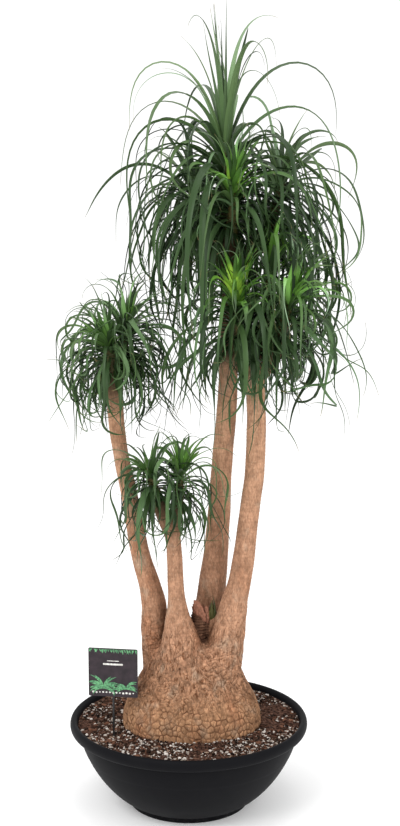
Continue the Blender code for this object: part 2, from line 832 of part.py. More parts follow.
def build_stake(name, collection, material, room):
    """The flat stake behind the card, pushed into the soil. With room round it, it is its slot."""
    half = STAKE_WIDTH / 2 + room
    thick = STAKE_THICKNESS / 2 + room
    top = CARD_BOTTOM_Z - SOIL_EDGE_Z + STAKE_UP_CARD
    return label_box(name, (-half, -thick, -STAKE_DEPTH - room), (half, thick, top), collection, material)


def build_card(collection, material):
    bottom = CARD_BOTTOM_Z - SOIL_EDGE_Z
    back = -STAKE_THICKNESS / 2 - GAP
    low = (-CARD_SIDE / 2, back - CARD_THICKNESS, bottom)
    high = (CARD_SIDE / 2, back, bottom + CARD_SIDE)
    return label_box("label_card", low, high, collection, material)


def main():
    clear_scene()
    palm = make_collection("ponytail_palm")
    cutters = make_collection("cutters")
    materials = {name: make_material(name) for name in COLOURS}
    build_bowl(palm, materials["bowl"])
    trunk = build_trunk(palm, materials["bark"], cutters)
    build_soil(palm, materials["soil"], cutters, trunk)
    build_palm_heads(palm, materials["leaf"])
    build_stake("label_stake", palm, materials["stake"], 0.0)
    build_card(palm, materials["card"])


main()
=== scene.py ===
"""Dresses a branched ponytail palm that stands in a wide dark bowl.

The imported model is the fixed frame. The swollen base and the stems get cracked and ringed bark, each head
gets its full count of arching strap leaves, and the bowl, the soil and the plant label get their finer
forms. Units are metres, +Z is up, and the viewer stands on the -Y side.
"""

from __future__ import annotations

import logging
import math
import random
from collections.abc import Sequence
from dataclasses import dataclass, field, replace
from enum import Enum

import bmesh
import bpy
import numpy as np
from mathutils import Matrix, Vector, noise
from mathutils.bvhtree import BVHTree


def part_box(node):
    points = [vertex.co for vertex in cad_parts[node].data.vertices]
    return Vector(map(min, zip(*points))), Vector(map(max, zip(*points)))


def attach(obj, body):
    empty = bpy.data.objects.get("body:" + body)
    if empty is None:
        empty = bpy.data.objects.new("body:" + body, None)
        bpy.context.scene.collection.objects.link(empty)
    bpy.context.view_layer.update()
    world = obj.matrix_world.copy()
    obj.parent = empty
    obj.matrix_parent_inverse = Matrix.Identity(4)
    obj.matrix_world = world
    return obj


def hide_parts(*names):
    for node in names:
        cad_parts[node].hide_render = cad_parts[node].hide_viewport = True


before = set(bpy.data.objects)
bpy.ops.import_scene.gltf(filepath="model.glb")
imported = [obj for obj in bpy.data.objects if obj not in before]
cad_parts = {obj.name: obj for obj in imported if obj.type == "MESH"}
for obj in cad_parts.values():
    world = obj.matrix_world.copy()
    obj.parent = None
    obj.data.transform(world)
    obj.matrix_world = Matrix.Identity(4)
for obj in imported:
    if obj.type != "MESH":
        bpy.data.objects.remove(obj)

LOG = logging.getLogger("ponytail_palm")
BODY = "root"
GOLDEN_SHARE = 0.381966

Pair = tuple[float, float]
Row = tuple[float, float, float, float]
Triple = tuple[float, float, float]
Stop = tuple[float, Triple]
Triangle = tuple[int, int, int]
Socket = bpy.types.NodeSocket


class Slot(Enum):
    """The record's material slots."""

    BOWL = "bowl"
    SOIL = "soil"
    BARK = "bark"
    LEAF = "leaf"
    CARD = "card"
    STAKE = "stake"


class GrainKind(Enum):
    """The loose bits that lie on the soil."""

    PERLITE = "perlite"
    BARK_CHIP = "bark_chips"
    STRAW = "straw_bits"
    CRUMB = "crumbs"


def smooth_step(low: float, high: float, value: float) -> float:
    """Rises from 0 at low to 1 at high; with low above high it falls."""
    share = max(0.0, min(1.0, (value - low) / (high - low)))
    return share * share * (3.0 - 2.0 * share)


def noise_at(x: float, y: float, z: float) -> float:
    """Soft noise between -1 and 1 at a point."""
    return noise.noise(Vector((x, y, z)))


def bridge(rings: int, count: int) -> list[list[int]]:
    """The faces between neighbouring rings of so many points each."""
    pairs = [(low, k, (k + 1) % count) for low in range(0, (rings - 1) * count, count) for k in range(count)]
    return [[low + k, low + after, low + count + after, low + count + k] for low, k, after in pairs]


def sleeve(rings: int, count: int) -> list[list[int]]:
    """The faces of a closed run of rings with flat ends."""
    return [*bridge(rings, count), list(reversed(range(count))), list(range((rings - 1) * count, rings * count))]


class Graph:
    """A material's node tree, wired by short calls."""

    def __init__(self, name: str, roughness: float, specular: float = 0.5) -> None:
        """Starts a material from a plain Principled shader.

        Args:
            name: The material's name.
            roughness: The shader's roughness.
            specular: The shader's specular level.
        """
        self.material = bpy.data.materials.new(name)
        self.material.use_nodes = True
        self.tree = self.material.node_tree
        self.shader = self.tree.nodes["Principled BSDF"]
        self.shader.inputs["Roughness"].default_value = roughness
        self.shader.inputs["Specular IOR Level"].default_value = specular

    def node(self, kind: str) -> bpy.types.Node:
        """Adds a node of this kind."""
        return self.tree.nodes.new(kind)

    def feed(self, source: Socket | float | Triple, target: Socket) -> None:
        """Links a socket to an input, or sets a plain value there.

        Args:
            source: The socket, number or colour to pass on.
            target: The input that takes it.
        """
        if isinstance(source, bpy.types.NodeSocket):
            self.tree.links.new(source, target)
        elif isinstance(source, tuple):
            target.default_value = (*source, 1.0)
        else:
            target.default_value = source

    def place(self) -> Socket:
        """The point on the piece, in metres."""
        return self.node("ShaderNodeTexCoord").outputs["Object"]

    def height(self) -> Socket:
        """The point's height, in metres.

        Returns:
            The height.
        """
        split = self.node("ShaderNodeSeparateXYZ")
        self.feed(self.place(), split.inputs[0])
        return split.outputs["Z"]

    def stretched(self, scale: Triple) -> Socket:
        """The point on the piece, scaled apart along its axes.

        Args:
            scale: How much the point is scaled along each axis.

        Returns:
            The scaled point.
        """
        mapping = self.node("ShaderNodeMapping")
        mapping.inputs["Scale"].default_value = scale
        self.feed(self.place(), mapping.inputs["Vector"])
        return mapping.outputs[0]

    def attribute(self, name: str) -> Socket:
        """A number that the mesh holds at each of its points.

        Args:
            name: The number's name.

        Returns:
            The number.
        """
        node = self.node("ShaderNodeAttribute")
        node.attribute_name = name
        return node.outputs["Fac"]

    def joined(self, x: Socket | float, y: Socket | float, z: Socket | float) -> Socket:
        """A vector made of three numbers.

        Args:
            x: The first number.
            y: The second number.
            z: The third number.

        Returns:
            The vector.
        """
        join = self.node("ShaderNodeCombineXYZ")
        for source, target in zip((x, y, z), join.inputs):
            self.feed(source, target)
        return join.outputs[0]

    def cloud(self, vector: Socket, scale: float, detail: float = 4.0, warp: float = 0.0) -> Socket:
        """Soft noise between 0 and 1.

        Args:
            vector: Where the noise is read.
            scale: How many features there are in a metre.
            detail: How many finer layers are added.
            warp: How far the features are drawn out of shape.

        Returns:
            The noise's value.
        """
        node = self.node("ShaderNodeTexNoise")
        node.inputs["Scale"].default_value = scale
        node.inputs["Detail"].default_value = detail
        node.inputs["Distortion"].default_value = warp
        self.feed(vector, node.inputs["Vector"])
        return node.outputs["Fac"]

    def cells(self, vector: Socket, scale: float) -> Socket:
        """Distance to the nearest cell centre, in shares of a cell.

        Args:
            vector: Where the cells are read.
            scale: How many cells there are in a metre.

        Returns:
            The distance.
        """
        node = self.node("ShaderNodeTexVoronoi")
        node.inputs["Scale"].default_value = scale
        self.feed(vector, node.inputs["Vector"])
        return node.outputs["Distance"]

    def sum(self, kind: str, first: Socket | float, second: Socket | float) -> Socket:
        """One step of arithmetic.

        Args:
            kind: The operation, such as MULTIPLY.
            first: The first number.
            second: The second number.

        Returns:
            The result.
        """
        node = self.node("ShaderNodeMath")
        node.operation = kind
        self.feed(first, node.inputs[0])
        self.feed(second, node.inputs[1])
        return node.outputs[0]

    def span(self, value: Socket, low: float, high: float) -> Socket:
        """Rises smoothly from 0 at low to 1 at high.

        Args:
            value: The value that rises.
            low: Where the rise starts.
            high: Where it ends.

        Returns:
            The risen value.
        """
        node = self.node("ShaderNodeMapRange")
        node.interpolation_type = "SMOOTHSTEP"
        self.feed(value, node.inputs["Value"])
        node.inputs["From Min"].default_value = low
        node.inputs["From Max"].default_value = high
        return node.outputs["Result"]

    def ramp(self, value: Socket, stops: Sequence[Stop]) -> Socket:
        """Colours blended along a value.

        Args:
            value: The value to read the ramp at.
            stops: The places of the ramp and their colours.

        Returns:
            The blended colour.
        """
        node = self.node("ShaderNodeValToRGB")
        points = node.color_ramp.elements
        while len(points) < len(stops):
            points.new(0.5)
        for point, (where, colour) in zip(points, stops):
            point.position = where
            point.color = (*colour, 1.0)
        self.feed(value, node.inputs["Fac"])
        return node.outputs["Color"]

    def mix(self, share: Socket | float, low: Socket | Triple, high: Socket | Triple) -> Socket:
        """Blends two colours.

        Args:
            share: How much of the second colour shows.
            low: The first colour.
            high: The second colour.

        Returns:
            The blend.
        """
        return self.blend("MIX", share, low, high)

    def tinted(self, colour: Socket, where: Socket, share: Socket | float, tint: Triple) -> Socket:
        """Lays a tint over a colour.

        Args:
            colour: The colour.
            where: Where the tint lies.
            share: How strong it is there.
            tint: The tint.

        Returns:
            The tinted colour.
        """
        return self.mix(self.sum("MULTIPLY", where, share), colour, tint)

    def shaded(self, colour: Socket, value: Socket, stops: Sequence[Stop], share: Socket | float = 1.0) -> Socket:
        """Darkens or brightens a colour along a value.

        Args:
            colour: The colour.
            value: The value to read the stops at.
            stops: Places on the value, and what the colour is multiplied by there.
            share: How strongly they act.

        Returns:
            The shaded colour.
        """
        return self.blend("MULTIPLY", share, colour, self.ramp(value, stops))

    def blend(self, kind: str, share: Socket | float, low: Socket | Triple, high: Socket | Triple) -> Socket:
        """Blends two colours in a named way.

        Args:
            kind: The way, such as MULTIPLY.
            share: How strongly the second colour acts.
            low: The first colour.
            high: The second colour.

        Returns:
            The blend.
        """
        node = self.node("ShaderNodeMix")
        node.data_type = "RGBA"
        node.blend_type = kind
        node.clamp_factor = True
        self.feed(share, node.inputs[0])
        self.feed(low, node.inputs[6])
        self.feed(high, node.inputs[7])
        return node.outputs[2]

    def paint(self, colour: Socket) -> None:
        """Gives the shader its colour."""
        self.feed(colour, self.shader.inputs["Base Color"])

    def roughen(self, value: Socket) -> None:
        """Gives the shader a roughness that varies."""
        self.feed(value, self.shader.inputs["Roughness"])

    def emboss(self, height: Socket, strength: float, depth: float) -> None:
        """Adds fine relief.

        Args:
            height: The relief, between 0 and 1.
            strength: How much of it shows.
            depth: The height of the relief, in metres.
        """
        bump = self.node("ShaderNodeBump")
        bump.inputs["Strength"].default_value = strength
        bump.inputs["Distance"].default_value = depth
        self.feed(height, bump.inputs["Height"])
        self.feed(bump.outputs["Normal"], self.shader.inputs["Normal"])


@dataclass(frozen=True)
class BowlFinish:
    """Matte charcoal moulded plastic with a little dust."""

    fresh: Triple = (0.0034, 0.0034, 0.0046)
    dusty: Triple = (0.0070, 0.0068, 0.0078)
    scuffed: Triple = (0.060, 0.056, 0.052)
    roughness: float = 0.36
    specular: float = 0.088
    grain: float = 1400.0
    scuffs_below: float = 0.022

    def build(self) -> bpy.types.Material:
        """Makes the material.

        Returns:
            The material.
        """
        graph = Graph("charcoal_plastic", self.roughness, self.specular)
        place = graph.place()
        dust = graph.cloud(place, 11.0, 6.0)
        colour = graph.ramp(dust, [(0.50, self.fresh), (0.85, self.dusty)])
        specks = graph.span(graph.cells(place, 230.0), 0.24, 0.14)
        low = graph.span(graph.height(), self.scuffs_below, 0.4 * self.scuffs_below)
        graph.paint(graph.tinted(colour, specks, low, self.scuffed))
        graph.roughen(graph.sum("MULTIPLY_ADD", dust, 0.22))
        graph.emboss(graph.cloud(place, self.grain, 2.0), 0.10, 0.0003)
        return graph.material


@dataclass(frozen=True)
class SoilFinish:
    """Damp potting mix: dark crumbs, red-brown fibres and pale dust."""

    dark: Triple = (0.013, 0.007, 0.005)
    brown: Triple = (0.068, 0.034, 0.024)
    rusty: Triple = (0.150, 0.080, 0.055)
    pale: Triple = (0.300, 0.230, 0.185)

    def build(self) -> bpy.types.Material:
        """Makes the material.

        Returns:
            The material.
        """
        graph = Graph("potting_mix", 0.95, 0.04)
        place = graph.place()
        crumbs = graph.cloud(place, 160.0, 6.0)
        colour = graph.ramp(crumbs, [(0.38, self.dark), (0.52, self.brown), (0.68, self.rusty)])
        flecks = graph.span(graph.cells(place, 260.0), 0.22, 0.12)
        graph.paint(graph.tinted(colour, flecks, 0.55, self.pale))
        graph.emboss(graph.cloud(place, 420.0, 5.0), 0.9, 0.002)
        return graph.material


@dataclass(frozen=True)
class GrainFinish:
    """One kind of loose bit on the soil, from its darkest to its palest."""

    name: str
    dark: Triple
    pale: Triple
    roughness: float = 0.9

    def build(self) -> bpy.types.Material:
        """Makes the material.

        Returns:
            The material.
        """
        graph = Graph(self.name, self.roughness, 0.06)
        base = graph.mix(graph.attribute("tone"), self.dark, self.pale)
        mottle = graph.cloud(graph.place(), 700.0, 3.0)
        graph.paint(graph.shaded(base, mottle, [(0.3, (0.55,) * 3), (0.7, (1.0,) * 3)]))
        graph.emboss(graph.cloud(graph.place(), 900.0, 3.0), 0.5, 0.0006)
        return graph.material


@dataclass(frozen=True)
class BarkFinish:
    """Tan bark: cracked plates at the soil, wrinkles above, fine flecks on the stems, olive near the leaves, with
    painted shade and highlight on the wrinkles, and painted shade in the trunk's closed-in places, its dark patches
    and on the tall stem at the back.
    """

    name: str = "palm_bark"
    crack: Triple = (0.110, 0.047, 0.024)
    plate: Triple = (0.400, 0.218, 0.118)
    belly: Triple = (0.314, 0.166, 0.095)
    shoulder: Triple = (0.328, 0.174, 0.103)
    stem: Triple = (0.410, 0.225, 0.138)
    high: Triple = (0.510, 0.300, 0.185)
    leafy: Triple = (0.028, 0.024, 0.011)
    rust: Triple = (0.330, 0.145, 0.075)
    grey: Triple = (0.360, 0.270, 0.195)
    rot: Triple = (0.060, 0.026, 0.016)
    fleck: Triple = (0.72, 0.56, 0.42)
    top: float = 1.6

    def build(self) -> bpy.types.Material:
        """Makes the material.

        Returns:
            The material.
        """
        graph = Graph(self.name, 0.85, 0.12)
        share = graph.sum("DIVIDE", graph.height(), self.top)
        places = (0.120, 0.150, 0.185, 0.225, 0.270, 0.400, 0.640)
        colours = (self.plate, self.plate, self.belly, self.shoulder, self.stem, self.stem, self.high)
        colour = graph.ramp(share, list(zip(places, colours)))
        broad = graph.cloud(graph.stretched((1.0, 1.0, 0.5)), 16.0, 5.0)
        colour = graph.tinted(colour, graph.span(broad, 0.52, 0.72), 0.60, self.rust)
        patch = graph.cloud(graph.stretched((1.0, 1.0, 0.8)), 27.0, 4.0)
        colour = graph.tinted(colour, graph.span(patch, 0.54, 0.70), 0.55, self.grey)
        mottle = graph.cloud(graph.stretched((1.0, 1.0, 0.6)), 74.0, 4.0)
        colour = graph.shaded(colour, mottle, [(0.36, (0.80,) * 3), (0.62, (1.13, 1.14, 1.16))])
        fibres = graph.cloud(graph.stretched((1.0, 1.0, 0.25)), 420.0, 5.0)
        colour = graph.shaded(colour, fibres, [(0.36, (0.74,) * 3), (0.60, (1.10,) * 3)])
        # The wrinkles' grooves, the low parts of the noise that also gives their bump, are painted darker and their
        # ridges lighter: painted shade and highlight where the bark is folded.
        strokes = graph.cloud(graph.stretched((1.0, 1.0, 0.42)), 158.0, 3.0, 0.9)
        wrinkle_shade_and_highlight = [(0.35, (0.44, 0.35, 0.29)), (0.46, (0.91,) * 3), (0.66, (1.17, 1.18, 1.20))]
        colour = graph.shaded(colour, strokes, wrinkle_shade_and_highlight, graph.attribute("folded"))
        rings = graph.cloud(graph.stretched((0.22, 0.22, 1.0)), 190.0, 3.0)
        colour = graph.shaded(colour, rings, [(0.36, (0.88,) * 3), (0.56, (1.04,) * 3)])
        flecks = graph.span(graph.cells(graph.stretched((1.0, 1.0, 0.45)), 240.0), 0.26, 0.12)
        colour = graph.tinted(colour, flecks, 0.22, self.fleck)
        # The plate value shades each plate by its own tone, and carries the painted shade of the wrinkles' grooves
        # and of the tall stem at the back.
        plates = [(0.0, (0.64, 0.62, 0.61)), (1.0, (1.36, 1.34, 1.29))]
        colour = graph.shaded(colour, graph.attribute("plate"), plates)
        for name, tint in (("leafy", self.leafy), ("rot", self.rot), ("crack", self.crack)):
            colour = graph.mix(graph.attribute(name), colour, tint)
        # Painted shade in the trunk's closed-in places and its dark patches.
        dirt = [(0.0, (1.0,) * 3), (1.0, (0.34, 0.29, 0.25))]
        graph.paint(graph.shaded(colour, graph.attribute("dirt"), dirt))
        graph.emboss(graph.sum("ADD", fibres, graph.sum("MULTIPLY", strokes, 1.6)), 0.7, 0.0014)
        return graph.material


@dataclass(frozen=True)
class LeafFinish:
    """Satin leaf: bright at the heart, deep green outside, finely veined along its length, with a painted blue-grey
    sheen where its tone is palest.
    """

    bright: Triple = (0.340, 0.600, 0.070)
    heart: Triple = (0.104, 0.245, 0.040)
    young: Triple = (0.088, 0.138, 0.066)
    grown: Triple = (0.045, 0.089, 0.030)
    old: Triple = (0.027, 0.056, 0.018)
    sheath: Triple = (0.068, 0.060, 0.018)
    dry: Triple = (0.260, 0.170, 0.075)
    roughness: float = 0.34

    def build(self) -> bpy.types.Material:
        """Makes the material.

        Returns:
            The material.
        """
        graph = Graph("strap_leaf", self.roughness, 0.17)
        names = ("age", "along", "across", "tone", "fresh", "sheath")
        age, along, across, tone, fresh, sheath = (graph.attribute(name) for name in names)
        colour = graph.ramp(age, [(0.0, self.young), (0.12, self.young), (0.38, self.grown), (1.0, self.old)])
        colour = graph.mix(graph.span(fresh, 0.0, 0.60), colour, self.heart)
        colour = graph.mix(graph.span(fresh, 0.70, 1.0), colour, self.bright)
        # Leaves differ in tone at random; the highest tone is painted a pale blue-grey sheen.
        tones_and_sheen = [(0.0, (0.34, 0.38, 0.38)), (0.5, (0.98,) * 3), (0.84, (1.40, 1.34, 1.20)), (1.0, (3.0, 2.7, 3.7))]
        colour = graph.shaded(colour, tone, tones_and_sheen)
        way = graph.joined(graph.sum("MULTIPLY", across, 5.0), graph.sum("MULTIPLY", along, 1.5), tone)
        veins = graph.cloud(way, 3.0, 3.0)
        colour = graph.shaded(colour, veins, [(0.35, (0.78,) * 3), (0.65, (1.14,) * 3)])
        colour = graph.tinted(colour, graph.span(along, 0.90, 1.0), tone, self.dry)
        graph.paint(graph.mix(sheath, colour, self.sheath))
        graph.emboss(veins, 0.35, 0.0006)
        return graph.material


@dataclass(frozen=True)
class CardFinish:
    """Glossy dark card with a faint mottled print."""

    dark: Triple = (0.016, 0.011, 0.014)
    light: Triple = (0.034, 0.022, 0.028)

    def build(self) -> bpy.types.Material:
        """Makes the material.

        Returns:
            The material.
        """
        graph = Graph("label_dark", 0.28, 0.25)
        mottle = graph.cloud(graph.place(), 60.0, 4.0)
        graph.paint(graph.ramp(mottle, [(0.35, self.dark), (0.70, self.light)]))
        graph.emboss(graph.cloud(graph.place(), 500.0, 2.0), 0.05, 0.0002)
        return graph.material


@dataclass(frozen=True)
class PrintFinish:
    """A printed colour on the card."""

    name: str
    dark: Triple
    light: Triple

    def build(self) -> bpy.types.Material:
        """Makes the material.

        Returns:
            The material.
        """
        graph = Graph(self.name, 0.30)
        mottle = graph.cloud(graph.place(), 240.0, 3.0)
        graph.paint(graph.ramp(mottle, [(0.35, self.dark), (0.65, self.light)]))
        return graph.material


@dataclass(frozen=True)
class StakeFinish:
    """Black plastic rod, slightly scuffed."""

    dark: Triple = (0.006, 0.006, 0.006)
    scuffed: Triple = (0.022, 0.022, 0.023)

    def build(self) -> bpy.types.Material:
        """Makes the material.

        Returns:
            The material.
        """
        graph = Graph("stake_black", 0.45)
        scuffs = graph.cloud(graph.stretched((1.0, 1.0, 0.2)), 300.0, 4.0)
        graph.paint(graph.ramp(scuffs, [(0.50, self.dark), (0.80, self.scuffed)]))
        return graph.material


@dataclass(frozen=True)
class FloorFinish:
    """Plain pale floor, lit a little from within like a photographer's light table, so that shadows stay faint."""

    colour: Triple = (0.90, 0.90, 0.90)
    glow: float = 0.14

    def build(self) -> bpy.types.Material:
        """Makes the material.

        Returns:
            The material.
        """
        graph = Graph("pale_floor", 0.9, 0.1)
        tint = graph.cloud(graph.place(), 2.0, 2.0)
        paler = tuple(min(1.0, part * 1.02) for part in self.colour)
        graph.paint(graph.ramp(tint, [(0.3, self.colour), (0.7, paler)]))
        graph.shader.inputs["Emission Color"].default_value = (1.0, 1.0, 1.0, 1.0)
        graph.shader.inputs["Emission Strength"].default_value = self.glow
        return graph.material


def keep_values(mesh: bpy.types.Mesh, name: str, values: np.ndarray) -> None:
    """Stores a number at each point of a mesh, for its finish to read."""
    mesh.attributes.new(name, "FLOAT", "POINT").data.foreach_set("value", values.astype(np.float32))


@dataclass
class Batch:
    """The points, faces and point values of one piece while it is put together."""

    points: list[np.ndarray] = field(default_factory=list)
    faces: list[list[int]] = field(default_factory=list)
    values: dict[str, list[np.ndarray]] = field(default_factory=dict)
    count: int = 0

    def add(self, points: np.ndarray, faces: Sequence[Sequence[int]], **values: np.ndarray | float) -> None:
        """Adds one closed shape.

        Args:
            points: Its points, one row each.
            faces: Its faces, as numbers of its own points.
            **values: A number at each point, or one number for all of them.
        """
        self.points.append(points)
        self.faces += [[self.count + corner for corner in face] for face in faces]
        for name, value in values.items():
            whole = np.broadcast_to(np.asarray(value, np.float32), (len(points),))
            self.values.setdefault(name, []).append(whole)
        self.count += len(points)

    def build(self, name: str, material: bpy.types.Material, sharp: float = math.pi) -> bpy.types.Object:
        """Makes a piece.

        Args:
            name: The piece's name.
            material: Its material.
            sharp: Edges that bend more than this stay sharp.

        Returns:
            The new object, shaded smooth.
        """
        mesh = bpy.data.meshes.new(name)
        mesh.from_pydata(np.vstack(self.points).tolist(), [], self.faces)
        for key, rows in self.values.items():
            keep_values(mesh, key, np.concatenate(rows))
        mesh.materials.append(material)
        mesh.shade_smooth()
        if sharp < math.pi:
            mesh.set_sharp_from_angle(angle=sharp)
        made = bpy.data.objects.new(name, mesh)
        bpy.context.scene.collection.objects.link(made)
        return made


def turned(profile: Sequence[Pair], segments: int) -> tuple[np.ndarray, list[list[int]]]:
    """Turns a profile round the Z axis.

    Args:
        profile: Radius and height, from the axis at the top, round the outside, to the axis at the bottom.
        segments: How many flats the turn has.

    Returns:
        The points and the faces of the closed solid.
    """
    angles = np.linspace(0.0, 2.0 * math.pi, segments, endpoint=False)
    inner = profile[1:-1]
    rings = [np.column_stack((r * np.cos(angles), r * np.sin(angles), np.full(segments, z))) for r, z in inner]
    ends = np.array([(0.0, 0.0, profile[0][1]), (0.0, 0.0, profile[-1][1])])
    faces = []
    for ring in range(len(inner) - 1):
        low = ring * segments
        for k in range(segments):
            after = (k + 1) % segments
            faces.append([low + k, low + segments + k, low + segments + after, low + after])
    first = len(inner) * segments
    last = first - segments
    for k in range(segments):
        after = (k + 1) % segments
        faces.append([first, k, after])
        faces.append([first + 1, last + after, last + k])
    return np.vstack([*rings, ends]), faces


def tube(line: Sequence[Sequence[float]], sides: int) -> tuple[list[Vector], list[list[int]]]:
    """A round tube with flat ends.

    Args:
        line: Its x, y, z and radius at each ring.
        sides: How many sides it has.

    Returns:
        The points and the faces of the closed solid.
    """
    points = []
    # Each ring's turn carries on from the ring before, so that no two rings are twisted against each other.
    heading = Vector(line[1][:3]) - Vector(line[0][:3])
    turn = heading.to_track_quat("Z", "Y")
    for k, (x, y, z, radius) in enumerate(line):
        before = Vector(line[max(k - 1, 0)][:3])
        after = Vector(line[min(k + 1, len(line) - 1)][:3])
        turn = heading.rotation_difference(after - before) @ turn
        heading = after - before
        for side in range(sides):
            angle = 2 * math.pi * side / sides
            spoke = Vector((math.cos(angle), math.sin(angle), 0.0)) * radius
            points.append(Vector((x, y, z)) + turn @ spoke)
    return points, sleeve(len(line), sides)


def dress(piece: bpy.types.Object, slot: Slot, *nodes: str) -> bpy.types.Object:
    """Puts a finished piece on the frame.

    Args:
        piece: The piece.
        slot: The material slot that it stands for; not used.
        *nodes: The nodes of the model that it stands for.

    Returns:
        The piece.
    """
    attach(piece, BODY)
    if nodes:
        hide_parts(*nodes)
    LOG.info("%s: %d faces", piece.name, len(piece.data.polygons))
    return piece


@dataclass
class Bowl:
    """The wide bowl: a small foot, a body that flares in one curve, a low collar and a rolled rim."""

    height: float = 0.202
    wall: float = 0.005
    foot_radius: float = 0.140
    foot_height: float = 0.013
    low_radius: float = 0.142
    top_radius: float = 0.2527
    top_z: float = 0.1725
    rise_power: float = 0.769
    flare_power: float = 1.449
    rim_radius: float = 0.2745
    rim_z: float = 0.189
    rim_half_width: float = 0.0085
    lip_radius: float = 0.256
    soil_radius: float = 0.257
    soil_edge: float = 0.188
    line_z: float = 0.124
    line_half_width: float = 0.0012
    line_depth: float = 0.0006
    collar: tuple[Pair, ...] = ((0.0030, 0.1756), (0.0006, 0.1747), (-0.0012, 0.1730))
    floor_inset: float = 0.006
    wall_spans: int = 16
    body_spans: int = 64
    rim_spans: int = 30
    rim_start: float = math.radians(170.0)
    rim_sweep: float = math.radians(-260.0)
    segments: int = 180
    sharp: float = math.radians(50.0)

    def body_radius(self, z: float) -> float:
        """Outer radius at a height between the foot and the collar.

        Args:
            z: The height.

        Returns:
            The radius.
        """
        share = max(0.0, (min(z, self.top_z) - self.foot_height) / (self.top_z - self.foot_height))
        swell = 1.0 - (1.0 - share**self.rise_power) ** self.flare_power
        above, below = self.line_z + self.line_half_width, self.line_z - self.line_half_width
        step = self.line_depth * smooth_step(above, below, z)
        return self.low_radius + (self.top_radius - self.low_radius) * swell - step * share

    def inner_wall(self, inset: float) -> list[Pair]:
        """The inside from the floor to the soil's edge.

        Args:
            inset: How far inside the wall the line runs.

        Returns:
            Radius and height along it.
        """
        heights = np.linspace(self.foot_height, self.top_z, self.wall_spans)
        wall = [(self.body_radius(z) - self.wall - inset, z + self.wall) for z in heights]
        floor, edge = self.wall + inset, (self.soil_radius - inset, self.soil_edge)
        return [(0.0, floor), (wall[0][0] - self.floor_inset, floor), *wall, edge]

    def build(self) -> bpy.types.Object:
        """Makes the bowl.

        Returns:
            The bowl.
        """
        middle = self.rim_radius - self.rim_half_width
        half_height = self.height - self.rim_z
        turns = [self.rim_start + self.rim_sweep * k / self.rim_spans for k in range(self.rim_spans + 1)]
        rim = [(middle + self.rim_half_width * math.cos(t), self.rim_z + half_height * math.sin(t)) for t in turns]
        collar = [(self.lip_radius + out, z) for out, z in self.collar]
        heights = np.linspace(self.top_z, self.foot_height + 0.001, self.body_spans)
        body = [(self.body_radius(z), z) for z in heights]
        step = [(self.foot_radius + 0.0008, self.foot_height + 0.0002), (self.foot_radius, self.foot_height - 0.001)]
        foot = [(self.foot_radius, 0.003), (self.foot_radius - 0.001, 0.001), (self.foot_radius - 0.003, 0.0)]
        batch = Batch()
        outside = [*rim, *collar, *body, *step, *foot, (0.0, 0.0)]
        batch.add(*turned([*self.inner_wall(0.0), *outside], self.segments))
        made = batch.build("bowl_shell", BowlFinish().build(), self.sharp)
        return dress(made, Slot.BOWL, "bowl")


@dataclass
class Grain:
    """How many loose bits of one kind there are, how big and flat they are, and how many lie at the front."""

    kind: GrainKind
    count: int
    low: float
    high: float
    flat: Triple
    finish: GrainFinish
    front: float


